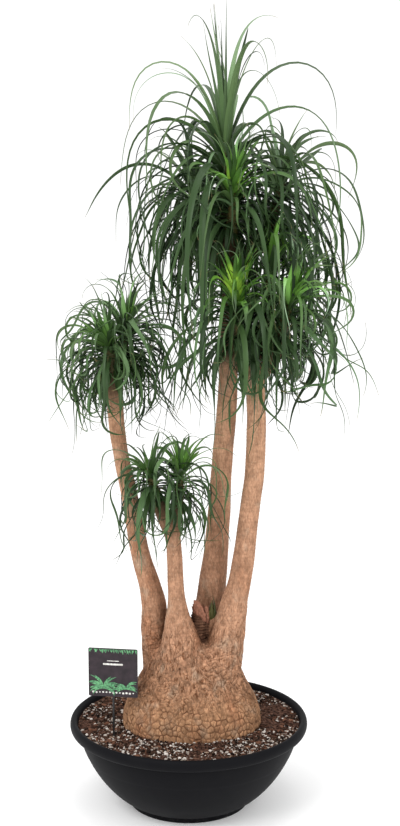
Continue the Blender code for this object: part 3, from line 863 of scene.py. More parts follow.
@dataclass
class Soil:
    """Potting soil: a rough crown round the trunk, strewn with perlite, bark chips and crumbs."""

    bowl: Bowl
    trunk_centre: Pair = (0.007, -0.016)
    trunk_half: Pair = (0.150, 0.119)
    pit_share: float = 0.96
    clear_share: float = 1.06
    pit_z: float = 0.134
    mound: float = 0.003
    shoulder_radius: float = 0.190
    shoulder_rise: float = 0.8
    bumps: tuple[Triple, ...] = ((0.0030, 24.0, 1.3), (0.0026, 85.0, 4.1), (0.0016, 230.0, 8.7))
    calm_edge: float = 0.006
    gap: float = 0.0003
    rings: int = 130
    segments: int = 420
    seed: int = 7
    spread: float = 0.50
    tilt: float = 0.6
    uneven: Pair = (0.75, 1.25)
    dent: float = 0.55
    lift: float = 0.35

    def edge_radius(self) -> float:
        """The radius at which the soil meets the bowl."""
        return self.bowl.soil_radius - self.gap

    def inside_trunk(self, x: float, y: float) -> float:
        """Distance from the trunk's middle, in shares of its half widths.

        Args:
            x: Its x.
            y: Its y.

        Returns:
            The distance, 1 at the trunk's edge.
        """
        across = (x - self.trunk_centre[0]) / self.trunk_half[0]
        deep = (y - self.trunk_centre[1]) / self.trunk_half[1]
        return math.hypot(across, deep)

    def surface(self, x: float, y: float) -> float:
        """Height of the soil's rough top at a place.

        Args:
            x: Its x.
            y: Its y.

        Returns:
            The height.
        """
        radius = math.hypot(x, y)
        if radius < self.shoulder_radius:
            crown = 1.0 - (1.0 - self.shoulder_rise) * radius / self.shoulder_radius
        else:
            fall = (radius - self.shoulder_radius) / (self.edge_radius() - self.shoulder_radius)
            crown = self.shoulder_rise * (1.0 - fall)
        rough = 0.0
        for height, scale, level in self.bumps:
            rough += height * noise_at(x * scale, y * scale, level)
        calm = smooth_step(self.edge_radius(), self.edge_radius() - self.calm_edge, radius)
        return self.bowl.soil_edge + self.mound * crown + rough * calm

    def build_bed(self) -> bpy.types.Object:
        """Makes the soil, with a pit where the trunk stands.

        Returns:
            The soil.
        """
        edge = self.edge_radius()
        inner = self.bowl.inner_wall(self.gap)[::-1]
        radii = np.linspace(0.0, edge, self.rings)[1:-1]
        profile = [(0.0, self.bowl.soil_edge), *[(r, self.bowl.soil_edge) for r in radii], *inner]
        points, faces = turned(profile, self.segments)
        tops = [*range(len(radii) * self.segments), len(points) - 2]
        for k in tops:
            x, y = points[k, :2]
            points[k, 2] = self.pit_z if self.inside_trunk(x, y) < self.pit_share else self.surface(x, y)
        batch = Batch()
        batch.add(points, faces)
        return dress(batch.build("soil_bed", SoilFinish().build()), Slot.SOIL, "soil")

    def strew(self, grain: Grain) -> bpy.types.Object:
        """Scatters one kind of loose bit, each sunk a little into the soil.

        Args:
            grain: The kind, its count, size and finish.

        Returns:
            All of them as one piece.
        """
        draw = random.Random(self.seed + len(grain.kind.value))
        pebble = bmesh.new()
        bmesh.ops.create_icosphere(pebble, subdivisions=1 if grain.kind is GrainKind.CRUMB else 2, radius=1.0)
        shape = np.array([vert.co for vert in pebble.verts])
        faces = [[vert.index for vert in face.verts] for face in pebble.faces]
        pebble.free()
        batch = Batch()
        edge = self.edge_radius()
        while batch.count < grain.count * len(shape):
            x, y = draw.uniform(-edge, edge), draw.uniform(-edge, edge)
            size = grain.low + (grain.high - grain.low) * draw.random() ** 2
            if math.hypot(x, y) > edge - size or self.inside_trunk(x, y) < self.clear_share:
                continue
            drift = noise_at(x * 16.0, y * 16.0, 3.3 + grain.front)
            drift += 0.8 * noise_at(x * 48.0, y * 48.0, 7.3 + grain.front)
            if draw.random() > self.spread + drift - grain.front * y / edge:
                continue
            turn = Matrix.Rotation(draw.uniform(0.0, 2.0 * math.pi), 3, "Z")
            turn @= Matrix.Rotation(draw.uniform(-self.tilt, self.tilt), 3, "X")
            stretch = [size * flat * draw.uniform(*self.uneven) for flat in grain.flat]
            own = Vector((x * 900.0, y * 900.0, 0.0))
            dents = [1.0 + self.dent * noise.noise(Vector(row) * 1.5 + own) for row in shape]
            body = shape * np.array(dents)[:, None] * np.array(stretch)
            centre = np.array((x, y, self.surface(x, y) + self.lift * stretch[2]))
            batch.add(body @ np.array(turn).T + centre, faces, tone=draw.random())
        made = batch.build("soil_" + grain.kind.value, grain.finish.build(), math.radians(60.0))
        return dress(made, Slot.SOIL)

    def build(self) -> None:
        """Makes the soil and what lies on it."""
        self.build_bed()
        white = GrainFinish("perlite_white", (0.34, 0.27, 0.22), (0.88, 0.82, 0.76))
        straw = GrainFinish("chip_straw", (0.180, 0.110, 0.072), (0.520, 0.380, 0.280))
        rusty = GrainFinish("chip_brown", (0.040, 0.018, 0.012), (0.210, 0.100, 0.062))
        black = GrainFinish("crumb_dark", (0.008, 0.006, 0.005), (0.075, 0.042, 0.028))
        grains = (
            Grain(GrainKind.PERLITE, 1850, 0.0010, 0.0044, (1.0, 0.72, 0.55), white, 0.30),
            Grain(GrainKind.BARK_CHIP, 1000, 0.0025, 0.0090, (1.0, 0.45, 0.30), rusty, -0.10),
            Grain(GrainKind.STRAW, 1100, 0.0016, 0.0060, (1.0, 0.35, 0.25), straw, 0.05),
            Grain(GrainKind.CRUMB, 2200, 0.0018, 0.0050, (1.0, 0.85, 0.7), black, 0.0),
        )
        for grain in grains:
            self.strew(grain)


@dataclass(frozen=True)
class HeadPlan:
    """One head of strap leaves: where it grows and how its leaves turn out.

    The fork is where its branch leaves the stem (x, y, z and radius), the tip is its growing point, and the
    leafy length ends at the tip. Main leaves are the model's own, and more are added between them. Spear is how
    long the youngest leaf is, as a share of the length, sag how far leaves bend under their weight, spans how many
    straight runs the model gives them, and open_front how wide a space before the heart its own leaves leave open.
    Heart says how bright the young leaves are, curl how strongly the leaf ends wind, gather how closely the young
    leaves stand together (below 0, how far apart), droop how much more the leaves bend down, reach how much longer
    the further leaves are, first_age how old the youngest of them is, view how wide a space before the heart the
    other heads leave open, and steep how near the old leaves come to hanging straight down.
    """

    name: str
    fork: Row
    tip: Triple
    lean: Triple
    leafy: float
    radius: float
    leaves: int
    length: float
    width: float
    spear: float
    sag: float
    spans: int
    open_front: float
    seed: int
    more: int
    heart: float
    curl: float
    gather: float = 0.0
    droop: float = 0.0
    reach: float = 1.0
    first_age: float = 0.01
    view: float = 0.0
    steep: float = 1.0

    def axis(self) -> Vector:
        """The way the head faces."""
        return Vector(self.lean).normalized()

    def seat(self) -> Matrix:
        """The place and turn of the branch's end, with the head's axis as Z."""
        foot = Vector(self.tip) - self.axis() * self.leafy
        return Matrix.Translation(foot) @ self.axis().to_track_quat("Z", "Y").to_matrix().to_4x4()


LEFT_FORK: Row = (-0.163, 0.000, 0.985, 0.0184)
SHORT_FORK: Row = (-0.037, -0.060, 0.650, 0.0180)
RIGHT_FORK: Row = (0.149, -0.015, 0.990, 0.0216)
TALL_FORK: Row = (0.096, 0.048, 1.240, 0.0200)
TALL_LOW_FORK: Row = (0.092, 0.036, 1.020, 0.0190)
STUB_FORK: Row = (0.040, -0.010, 0.380, 0.0120)

HEADS: tuple[HeadPlan, ...] = (
    HeadPlan(
        "rosette_top", TALL_FORK, (0.080, 0.046, 1.495), (-0.06, 0.00, 1.0), 0.150, 0.0175,
        44, 0.64, 0.018, 0.60, 8.0, 5, 0.000, 11, 106, 0.22, 0.95, gather=0.82, first_age=0.06, steep=0.84,
    ),
    HeadPlan(
        "rosette_top_front", TALL_FORK, (0.099, -0.022, 1.405), (0.05, -0.30, 1.0), 0.100, 0.0145,
        22, 0.38, 0.016, 0.36, 7.6, 5, 0.025, 12, 88, 0.90, 0.95, gather=-0.15, droop=-0.18, steep=0.84,
    ),
    HeadPlan(
        "rosette_top_right", TALL_FORK, (0.212, 0.085, 1.425), (0.30, 0.20, 1.0), 0.095, 0.0145,
        30, 0.52, 0.016, 0.30, 8.0, 5, 0.000, 13, 64, 0.08, 1.30, gather=-0.50, droop=0.20, steep=0.86,
    ),
    HeadPlan(
        "rosette_top_left", TALL_FORK, (0.008, 0.098, 1.405), (-0.25, 0.30, 1.0), 0.095, 0.0145,
        30, 0.45, 0.016, 0.32, 7.6, 5, 0.000, 14, 68, 0.12, 1.35, gather=-0.50, droop=0.30, steep=0.82,
    ),
    HeadPlan(
        "rosette_middle_front", TALL_LOW_FORK, (0.106, -0.040, 1.168), (0.02, -0.25, 1.0), 0.100, 0.0155,
        28, 0.40, 0.016, 0.38, 7.4, 5, 0.050, 15, 104, 1.32, 0.85, gather=-0.25, view=0.070, steep=0.84,
    ),
    HeadPlan(
        "rosette_middle_right", RIGHT_FORK, (0.224, -0.062, 1.165), (0.30, -0.22, 1.0), 0.095, 0.0155,
        28, 0.41, 0.016, 0.36, 7.2, 5, 0.020, 16, 84, 0.75, 1.80, gather=-0.15, reach=1.1, view=0.040, steep=0.86,
    ),
    HeadPlan(
        "rosette_middle_back", RIGHT_FORK, (0.186, 0.012, 1.248), (0.10, 0.10, 1.0), 0.120, 0.0160,
        28, 0.42, 0.016, 0.34, 7.6, 5, 0.020, 17, 82, 1.05, 1.50, gather=0.10, steep=0.86,
    ),
    HeadPlan(
        "rosette_left_front", LEFT_FORK, (-0.180, -0.030, 1.068), (-0.30, -0.25, 1.0), 0.060, 0.0145,
        30, 0.30, 0.013, 0.38, 7.0, 4, 0.000, 18, 104, 0.50, 1.70, gather=-0.45, droop=-0.12, reach=1.32,
    ),
    HeadPlan(
        "rosette_left_back", LEFT_FORK, (-0.138, 0.026, 1.105), (0.20, 0.20, 1.0), 0.080, 0.0145,
        34, 0.32, 0.013, 0.38, 7.0, 4, 0.025, 19, 104, 0.50, 1.70, gather=-0.30, droop=-0.12, reach=1.28,
    ),
    HeadPlan(
        "rosette_low_left", SHORT_FORK, (-0.086, -0.078, 0.786), (-0.30, -0.15, 1.0), 0.050, 0.0125,
        22, 0.26, 0.012, 0.36, 6.4, 4, 0.000, 20, 46, 0.45, 1.60, gather=-0.90, droop=0.20, reach=1.35,
    ),
    HeadPlan(
        "rosette_low_right", SHORT_FORK, (-0.016, -0.052, 0.784), (0.12, 0.05, 1.0), 0.060, 0.0125,
        24, 0.27, 0.012, 0.46, 6.4, 4, 0.025, 21, 52, 0.65, 1.60, gather=-0.35, droop=0.15, reach=1.35,
    ),
    HeadPlan(
        "fork_shoot", STUB_FORK, (0.057, -0.018, 0.458), (0.20, -0.05, 1.0), 0.012, 0.0060,
        8, 0.065, 0.0055, 0.70, 2.5, 3, 0.000, 22, 0, 0.25, 0.50,
    ),
)


def smooth_line(rows: Sequence[Sequence[float]], steps: int = 4) -> np.ndarray:
    """A smooth line through design points.

    Args:
        rows: The design points, of any width.
        steps: How many points it has for each gap between them.

    Returns:
        The line, one row for each point.
    """
    table = np.array(rows, float)
    padded = np.vstack([2 * table[0] - table[1], table, 2 * table[-1] - table[-2]])
    line = []
    for k in range(len(table) - 1):
        before, start, end, after = padded[k : k + 4]
        lift = (end - before) / 2
        fall = (after - start) / 2
        for step in range(steps):
            t = step / steps
            base = (2 * t**3 - 3 * t**2 + 1) * start + (3 * t**2 - 2 * t**3) * end
            line.append(base + (t**3 - 2 * t**2 + t) * lift + (t**3 - t**2) * fall)
    line.append(table[-1])
    return np.array(line)


@dataclass
class Plates:
    """Bark plates in uneven rows round the swollen base."""

    columns: int = 70
    row: float = 0.0140
    spread: float = 0.88
    seed: int = 31

    def lay(self, turn: np.ndarray, rise: np.ndarray) -> tuple[np.ndarray, np.ndarray]:
        """Finds the plate at each of many points.

        Args:
            turn: How far round the base each point is, in turns.
            rise: How far up its side each point is, in metres.

        Returns:
            The distance to the nearest crack, in shares of a plate, and the plate's own number from 0 to 1.
        """
        table = np.random.RandomState(self.seed).rand(self.columns, 64, 3)
        place = np.stack((turn * self.columns, rise / self.row), axis=-1)
        cell = np.floor(place).astype(int)
        seeds, shades = [], []
        for along in (-2, -1, 0, 1, 2):
            for up in (-1, 0, 1):
                column, line = cell[:, 0] + along, cell[:, 1] + up
                chance = table[column % self.columns, line % 64]
                shift = 0.5 * (line % 2)
                across = column + 0.5 + shift + self.spread * (chance[:, 0] - 0.5)
                seeds.append(np.stack((across, line + 0.5 + self.spread * (chance[:, 1] - 0.5)), axis=-1))
                shades.append(chance[:, 2])
        spots, numbers = np.stack(seeds, axis=1), np.stack(shades, axis=1)
        away = ((spots - place[:, None]) ** 2).sum(-1)
        first = away.argmin(1)
        rows = np.arange(len(place))
        own = spots[rows, first]
        apart = np.maximum(1e-9, np.linalg.norm(spots - own[:, None], axis=-1))
        gaps = (away - away[rows, first][:, None]) / (2.0 * apart)
        gaps[rows, first] = np.inf
        return gaps.min(1), numbers[rows, first]


@dataclass
class Trunk:
    """The swollen base, the four stems, their forks and the torn stub, grown together.

    The profile is the base's radius and height from the top down. Each stem is x, y, z and radius from its root up.
    A dark patch is x, y, z, reach and strength; the strongest, on the base's left flank, paints the shadow between
    the left stem and the belly.
    A flake of the torn stub is the side on which it stands in degrees, its width, its height and its lean, and a
    sheet is x, y, z and width down its middle.
    """

    centre: Pair = (0.007, -0.016)
    depth_ratio: float = 0.80
    bottom_z: float = 0.135
    top_z: float = 0.392
    base_segments: int = 72
    stem_sides: int = 28
    voxel: float = 0.0023
    smoothing: int = 16
    lead: float = 0.35
    past_end: float = 0.004
    fine: Pair = (0.175, 0.430)
    plates: Plates = field(default_factory=Plates)
    plates_end: Pair = (0.286, 0.240)
    plate_height: float = 0.0013
    groove_depth: float = 0.0010
    folds_start: Pair = (0.228, 0.276)
    folds_end: Pair = (0.520, 0.350)
    fold_height: float = 0.0015
    split_depth: float = 0.0010
    lump_height: float = 0.0026
    bare_start: Pair = (0.360, 0.480)
    ring_step: float = 0.0085
    ring_height: float = 0.00020
    rib_height: float = 0.00065
    swell_height: float = 0.0011
    # Below this height the bark gets painted shade where the trunk closes it in.
    dirt_below: float = 0.640
    dirt_fade: float = 0.12
    dirt_reach: float = 0.075
    dirt_rays: int = 9
    # Dark patches painted on the base; the strongest, on its left flank, paints the shadow between the left stem and
    # the belly.
    dark_patches: tuple[tuple[float, float, float, float, float], ...] = (
        (-0.128, -0.040, 0.300, 0.062, 0.85), (-0.102, -0.060, 0.345, 0.040, 0.60),
        (-0.022, -0.145, 0.262, 0.042, 0.42), (0.105, -0.110, 0.290, 0.040, 0.36),
        (0.160, -0.040, 0.270, 0.075, 0.60), (0.150, -0.060, 0.200, 0.050, 0.30),
        (-0.060, -0.120, 0.285, 0.030, 0.30), (0.040, -0.130, 0.335, 0.030, 0.22),
    )
    leafy_near: Pair = (0.110, 0.020)
    leafy_above: Pair = (1.02, 1.14)
    dead_reach: Pair = (1.40, 1.02)
    dead_start: Pair = (0.368, 0.392)
    dead_end: Pair = (0.49, 0.47)
    hollow_radius: float = 0.014
    hollow_depth: float = 0.026
    hollow_near: float = 0.014
    scar_step: float = 0.0065
    scar_height: float = 0.0016
    rim_sunk: float = 0.014
    rim_thick: float = 0.0040
    seed: int = 23
    flake_section: tuple[Pair, ...] = ((-1.0, 0.0), (-0.5, 0.5), (0.0, 0.7), (0.5, 0.5), (1.0, 0.0), (0.0, -0.3))
    sheet_section: tuple[Pair, ...] = ((-1.0, 0.0), (-0.5, 0.6), (0.0, 0.8), (0.5, 0.6), (1.0, 0.0), (0.0, -0.2))
    flakes: tuple[Row, ...] = (
        (200.0, 0.017, 0.009, 0.003), (232.0, 0.015, 0.014, 0.001), (262.0, 0.016, 0.009, 0.004),
        (292.0, 0.013, 0.002, 0.003), (322.0, 0.013, -0.003, 0.003), (160.0, 0.018, 0.018, 0.001),
        (120.0, 0.017, 0.016, 0.002), (80.0, 0.017, 0.012, 0.002), (40.0, 0.015, 0.004, 0.002),
        (0.0, 0.013, -0.001, 0.003), (222.0, 0.015, 0.017, 0.006), (250.0, 0.010, 0.014, 0.007),
    )
    sheets: tuple[tuple[Row, ...], ...] = (
        (
            (0.0165, -0.0240, 0.4835, 0.0110), (0.0205, -0.0290, 0.4730, 0.0185), (0.0270, -0.0320, 0.4570, 0.0190),
            (0.0340, -0.0335, 0.4440, 0.0120), (0.0375, -0.0335, 0.4370, 0.0050),
        ),
        ((0.0395, -0.0200, 0.4700, 0.0070), (0.0425, -0.0250, 0.4530, 0.0095), (0.0428, -0.0270, 0.4310, 0.0060)),
    )
    profile: tuple[Pair, ...] = (
        (0.040, 0.388), (0.080, 0.372), (0.101, 0.345), (0.115, 0.312), (0.131, 0.280), (0.147, 0.250),
        (0.157, 0.222), (0.159, 0.195), (0.152, 0.160), (0.138, 0.135),
    )
    left: tuple[Row, ...] = (
        (-0.040, 0.000, 0.270, 0.0600), (-0.068, 0.002, 0.344, 0.0380), (-0.078, 0.004, 0.420, 0.0310),
        (-0.080, 0.004, 0.470, 0.0280), (-0.092, 0.004, 0.522, 0.0245), (-0.112, 0.003, 0.595, 0.0215),
        (-0.133, 0.002, 0.715, 0.0190), (-0.152, 0.001, 0.814, 0.0178), (-0.161, 0.000, 0.880, 0.0182),
        (-0.165, 0.000, 0.947, 0.0188), (-0.163, 0.000, 0.990, 0.0184),
    )
    short: tuple[Row, ...] = (
        (-0.016, -0.040, 0.290, 0.0620), (-0.017, -0.048, 0.385, 0.0460), (-0.023, -0.052, 0.440, 0.0315),
        (-0.026, -0.054, 0.490, 0.0205), (-0.029, -0.055, 0.540, 0.0185), (-0.032, -0.058, 0.611, 0.0174),
        (-0.037, -0.060, 0.655, 0.0185),
    )
    tall: tuple[Row, ...] = (
        (0.030, 0.020, 0.290, 0.0600), (0.040, 0.038, 0.370, 0.0440), (0.049, 0.046, 0.450, 0.0355),
        (0.063, 0.048, 0.579, 0.0287), (0.072, 0.048, 0.703, 0.0256), (0.075, 0.047, 0.772, 0.0242),
        (0.085, 0.046, 0.886, 0.0234), (0.091, 0.046, 1.004, 0.0220), (0.095, 0.047, 1.138, 0.0212),
        (0.096, 0.048, 1.240, 0.0200),
    )
    right: tuple[Row, ...] = (
        (0.052, -0.026, 0.270, 0.0660), (0.078, -0.030, 0.358, 0.0460), (0.094, -0.030, 0.430, 0.0360),
        (0.105, -0.029, 0.485, 0.0300), (0.116, -0.028, 0.529, 0.0265), (0.127, -0.026, 0.600, 0.0245),
        (0.141, -0.023, 0.719, 0.0224), (0.149, -0.021, 0.785, 0.0222), (0.152, -0.019, 0.896, 0.0222),
        (0.150, -0.017, 0.937, 0.0212), (0.149, -0.015, 1.000, 0.0216),
    )
    stub: tuple[Row, ...] = (
        (0.014, -0.018, 0.350, 0.0300), (0.021, -0.014, 0.410, 0.0205), (0.026, -0.012, 0.452, 0.0180),
    )

    def branch(self, plan: HeadPlan, past: float) -> np.ndarray:
        """The bare branch of a head.

        Args:
            plan: The head.
            past: How far the line runs on past the branch's end.

        Returns:
            Rows of x, y, z and radius.
        """
        axis = plan.axis()
        seat = plan.seat().translation
        lead = seat - axis * (seat - Vector(plan.fork[:3])).length * self.lead
        middle = 0.5 * (plan.fork[3] + plan.radius)
        line = smooth_line([plan.fork, (*lead, middle), (*seat, plan.radius)])
        if past > 0.0:
            line = np.vstack([line, (*(seat + axis * past), plan.radius)])
        return line

    def stems(self) -> tuple[tuple[Row, ...], ...]:
        """The stems and the stub, as rows of x, y, z and radius."""
        return self.left, self.short, self.tall, self.right, self.stub

    def lines(self, past: float) -> list[np.ndarray]:
        """All stems and branches, as rows of x, y, z and radius."""
        return [smooth_line(stem) for stem in self.stems()] + [self.branch(plan, past) for plan in HEADS]

    def grown(self) -> bpy.types.Object:
        """Base, stems and branches in one smooth skin.

        Returns:
            The skin, still smooth.
        """
        points, faces = turned([(0.0, self.top_z), *self.profile, (0.0, self.bottom_z)], self.base_segments)
        points = points * (1.0, self.depth_ratio, 1.0) + (*self.centre, 0.0)
        batch = Batch()
        batch.add(points, faces)
        for line in self.lines(self.past_end):
            rows, sides = tube(line, self.stem_sides)
            batch.add(np.array(rows), sides)
        made = batch.build("trunk_bark", BarkFinish().build())
        fuse = made.modifiers.new("Grow together", "REMESH")
        fuse.mode = "VOXEL"
        fuse.voxel_size = self.voxel
        soften = made.modifiers.new("Soften", "SMOOTH")
        soften.factor = 0.5
        soften.iterations = self.smoothing
        bpy.context.view_layer.update()
        graph = bpy.context.evaluated_depsgraph_get()
        mesh = bpy.data.meshes.new_from_object(made.evaluated_get(graph))
        made.modifiers.clear()
        made.data = mesh
        return made

    def refine(self, mesh: bpy.types.Mesh) -> None:
        """Splits the faces of the cracked base, where the relief is finest.

        Args:
            mesh: The trunk's mesh.
        """
        shape = bmesh.new()
        shape.from_mesh(mesh)
        edges = [edge for edge in shape.edges if self.fine[0] < edge.verts[0].co.z < self.fine[1]]
        bmesh.ops.subdivide_edges(shape, edges=edges, cuts=1, use_grid_fill=True)
        shape.to_mesh(mesh)
        shape.free()

    def wrinkles(self, place: Vector) -> tuple[float, float]:
        """Worm-like folds of the swollen base above its plates, mostly upright, level in places.

        Args:
            place: A point on the smooth skin.

        Returns:
            How far they stand out, from 0 to 1, and how deep in a crack the point is.
        """
        bent = place + noise.noise_vector(place * 60.0) * 0.005
        upright = noise_at(bent.x * 140.0, bent.y * 140.0, bent.z * 62.0)
        level = noise.noise(Vector((bent.x * 70.0, bent.y * 70.0, bent.z * 150.0)) + Vector((7.0, 3.0, 1.0)))
        share = smooth_step(-0.25, 0.05, noise.noise(place * 16.0))
        fold = abs(upright * share + level * (1.0 - share))
        patchy = smooth_step(-0.10, 0.35, noise.noise(place * 70.0))
        return smooth_step(0.0, 0.30, fold), smooth_step(0.080, 0.0, fold) * (0.20 + 0.80 * patchy)

    def laid_plates(self, places: np.ndarray) -> tuple[np.ndarray, np.ndarray]:
        """The plates at many points of the smooth skin, as Plates.lay gives them.

        Args:
            places: The points, one row each.

        Returns:
            The distances to the nearest cracks, and the plates' numbers.
        """
        heights, radii = np.array([(z, r) for r, z in reversed(self.profile)]).T
        lengths = np.append(0.0, np.cumsum(np.hypot(np.diff(heights), np.diff(radii))))
        turn = np.arctan2((places[:, 1] - self.centre[1]) / self.depth_ratio, places[:, 0] - self.centre[0])
        bent = np.array([noise.noise_vector(Vector(place) * 17.0) for place in places])
        rise = np.interp(places[:, 2], heights, lengths) + 0.010 * bent[:, 0]
        return self.plates.lay(turn / (2.0 * math.pi) + 0.010 * bent[:, 1], rise)

    def folded(self, place: Vector) -> float:
        """How far a point belongs to the wrinkled part between the plates and the smooth stems."""
        low = smooth_step(*self.folds_start, place.z + 0.014 * noise.noise(place * 17.0))
        return low * smooth_step(*self.folds_end, place.z + 0.030 * noise.noise(place * 12.0))

    def relief(self, place: Vector, edge: float, number: float) -> tuple[float, float, float]:
        """The bark at a place.

        Args:
            place: A point on the smooth skin.
            edge: Its distance to the nearest crack between plates, in shares of a plate.
            number: The plate's own number.

        Returns:
            How far the bark stands out in metres, how deep in a crack it is and the shade of its plate, which also
            holds painted shade in the wrinkles' grooves and on the tall stem at the back.
        """
        x, y, z = place
        plates = smooth_step(*self.plates_end, z + 0.022 * noise.noise(place * 14.0))
        folded = self.folded(place)
        bare = smooth_step(*self.bare_start, z)
        out, crack, shade = 0.0, 0.0, 0.5
        if plates > 0.0:
            thin = 0.055 + 0.060 * noise.noise(place * 75.0)
            open_share = 0.55 + 0.45 * smooth_step(-0.3, 0.2, noise.noise(place * 48.0))
            groove = smooth_step(thin + 0.065, thin - 0.035, edge) * open_share
            out += plates * (self.plate_height * smooth_step(0.0, 0.42, edge) - self.groove_depth * groove)
            crack = max(crack, plates * 0.92 * groove)
            shade += plates * (0.26 * (number - 0.5) + 0.35 * noise.noise(place * 55.0))
        if folded > 0.0:
            fold, split = self.wrinkles(place)
            lump = self.lump_height * noise.noise(place * 38.0)
            out += folded * (self.fold_height * fold - self.split_depth * split + lump)
            crack = max(crack, folded * 0.80 * split)
            # On the wrinkles the shade follows their height, darker in the grooves: painted shade.
            shade += folded * (0.40 * (fold - 0.5) + 0.35 * noise.noise(place * 70.0))
        if bare > 0.0:
            ring = math.sin(2.0 * math.pi * (z + 0.003 * noise.noise(place * 26.0)) / self.ring_step)
            ribs = noise_at(x * 95.0, y * 95.0, z * 11.0)
            swell = self.swell_height * noise.noise(place * 20.0)
            out += bare * (self.ring_height * ring + self.rib_height * ribs + swell)
            crack = max(crack, bare * 0.22 * smooth_step(0.15, 0.55, -ribs))
            # The tall stem at the back is painted darker low down and near its top, and a little lighter in its
            # middle: painted shade.
            tall_stem_shade = 0.66 * smooth_step(0.60, 0.47, z) + 0.40 * smooth_step(0.79, 0.91, z) - 0.12
            shade -= bare * smooth_step(0.020, 0.036, y) * tall_stem_shade
        return out, crack, max(0.0, min(1.0, shade))

    def dirt(self, tree: BVHTree, place: Vector, normal: Vector) -> float:
        """How much darker a point is painted: painted shade where other parts of the trunk close it in, and the dark
        patches.

        Args:
            tree: The smooth skin.
            place: The point.
            normal: The way that the skin faces there.

        Returns:
            The dirt, from 0 to 1.
        """
        start, turn, closed = place + normal * 0.002, normal.to_track_quat("Z", "Y"), 0
        for k in range(self.dirt_rays):
            slope, angle = 0.30 + 0.45 * (k % 3), 2.0 * math.pi * (k * GOLDEN_SHARE)
            spoke = Vector((math.cos(angle) * math.sin(slope), math.sin(angle) * math.sin(slope), math.cos(slope)))
            if tree.ray_cast(start, turn @ spoke, self.dirt_reach)[0] is not None:
                closed += 1
        found = smooth_step(0.15, 0.95, closed / self.dirt_rays)
        uneven = 0.75 + 0.9 * noise.noise(place * 52.0)
        for x, y, z, radius, strength in self.dark_patches:
            away = (place - Vector((x, y, z))).length
            found = max(found, min(1.0, strength * uneven * smooth_step(radius, 0.25 * radius, away)))
        return found

    def decay(self, place: Vector) -> float:
        """How far a point belongs to the dark, dead stub: 1 on it, 0 away from it.

        Args:
            place: The point.

        Returns:
            The share of decay.
        """
        low, high = self.stub[0], self.stub[-1]
        share = min(1.0, max(0.0, (place.z - low[2]) / (high[2] - low[2])))
        middle = [a + (b - a) * share for a, b in zip(low, high)]
        reach = math.hypot(place.x - middle[0], place.y - middle[1]) / middle[3]
        ends = smooth_step(*self.dead_start, place.z) * smooth_step(*self.dead_end, place.z)
        return smooth_step(*self.dead_reach, reach) * ends

    def hollow(self, place: Vector) -> float:
        """How far a point at the stub's torn end sinks towards its rotted middle.

        Args:
            place: The point.

        Returns:
            The depth, in metres.
        """
        top = Vector(self.stub[-1][:3])
        reach = math.hypot(place.x - top.x, place.y - top.y) / self.hollow_radius
        if reach > 1.0 or abs(place.z - top.z) > self.hollow_near:
            return 0.0
        return self.hollow_depth * (1.0 - reach * reach)

    def build_bark(self) -> bpy.types.Object:
        """Makes the trunk with its bark.

        Returns:
            The trunk.
        """
        # Without a seed, the noise that bends the plates and folds would differ from run to run.
        noise.seed_set(self.seed)
        made = self.grown()
        mesh = made.data
        tree = BVHTree.FromPolygons([vert.co for vert in mesh.vertices], [face.vertices for face in mesh.polygons])
        self.refine(mesh)
        count = len(mesh.vertices)
        values = {name: np.zeros(count) for name in ("crack", "plate", "leafy", "rot", "dirt", "folded")}
        seats = [plan.seat().translation for plan in HEADS if plan.more]
        edges, numbers = self.laid_plates(np.array([vert.co for vert in mesh.vertices]))
        moved = np.zeros((count, 3))
        for k, vert in enumerate(mesh.vertices):
            place = vert.co.copy()
            out, values["crack"][k], values["plate"][k] = self.relief(place, edges[k], numbers[k])
            sink = self.hollow(place)
            rot = max(0.85 * self.decay(place), min(1.0, 150.0 * sink))
            rung = math.sin(2.0 * math.pi * (place.z + 0.0022 * noise.noise(place * 130.0)) / self.scar_step)
            out += self.scar_height * rot * rung
            near = min((place - seat).length for seat in seats)
            scars = 0.5 + 0.5 * noise.noise(place * 40.0)
            green = max(smooth_step(*self.leafy_near, near), 0.95 * smooth_step(*self.leafy_above, place.z))
            values["leafy"][k] = green * (0.82 + 0.18 * scars)
            values["rot"][k] = rot * (0.86 - 0.14 * rung)
            values["folded"][k] = max(self.folded(place), 0.35 * smooth_step(0.30, 0.24, place.z))
            # Painted shade where the trunk closes a point in, and the dark patches, fading out upwards.
            if place.z < self.dirt_below:
                fade = smooth_step(self.dirt_below, self.dirt_below - self.dirt_fade, place.z)
                values["dirt"][k] = fade * self.dirt(tree, place, vert.normal)
            moved[k] = place + vert.normal * out - Vector((0.0, 0.0, sink))
        mesh.vertices.foreach_set("co", moved.astype(np.float32).ravel())
        for name, value in values.items():
            keep_values(mesh, name, value)
        mesh.shade_smooth()
        return dress(made, Slot.BARK, "trunk")

    def shard(self, turn: float, width: float, height: float, lean: float, seed: float) -> np.ndarray:
        """The rows of one torn flake of dead wood that stands on the stub's edge.

        Args:
            turn: Where on the edge it stands.
            width: Its width.
            height: Its height above the edge.
            lean: How far its end leans outwards.
            seed: What makes its outline differ from the others.

        Returns:
            Its points, ring after ring from its foot to its end.
        """
        x, y, z, radius = self.stub[-1]
        spoke = Vector((math.cos(turn), math.sin(turn), 0.0))
        aside = Vector((-spoke.y, spoke.x, 0.0))
        rows = []
        for step in range(9):
            share = step / 8.0
            ragged = 1.0 + 0.35 * noise_at(share * 4.0, seed, 2.0)
            half = 0.5 * width * ragged * (1.0 - 0.50 * share**2.2)
            out = radius * 0.80 + lean * share**1.6 + 0.0015 * noise_at(share * 5.0, seed, 6.0)
            middle = Vector((x, y, z - self.rim_sunk)) + spoke * out
            middle += Vector((0.0, 0.0, (height + self.rim_sunk) * share)) + aside * (0.004 * share * math.sin(seed))
            thick = self.rim_thick * (1.0 - 0.7 * share)
            for across, over in self.flake_section:
                jag = 0.0030 * share * noise_at(across * 1.6, seed, 9.0)
                bow = spoke * (thick * over - 0.25 * half * across * across)
                rows.append(middle + aside * (half * across) + bow + Vector((0.0, 0.0, jag)))
        return np.array(rows)

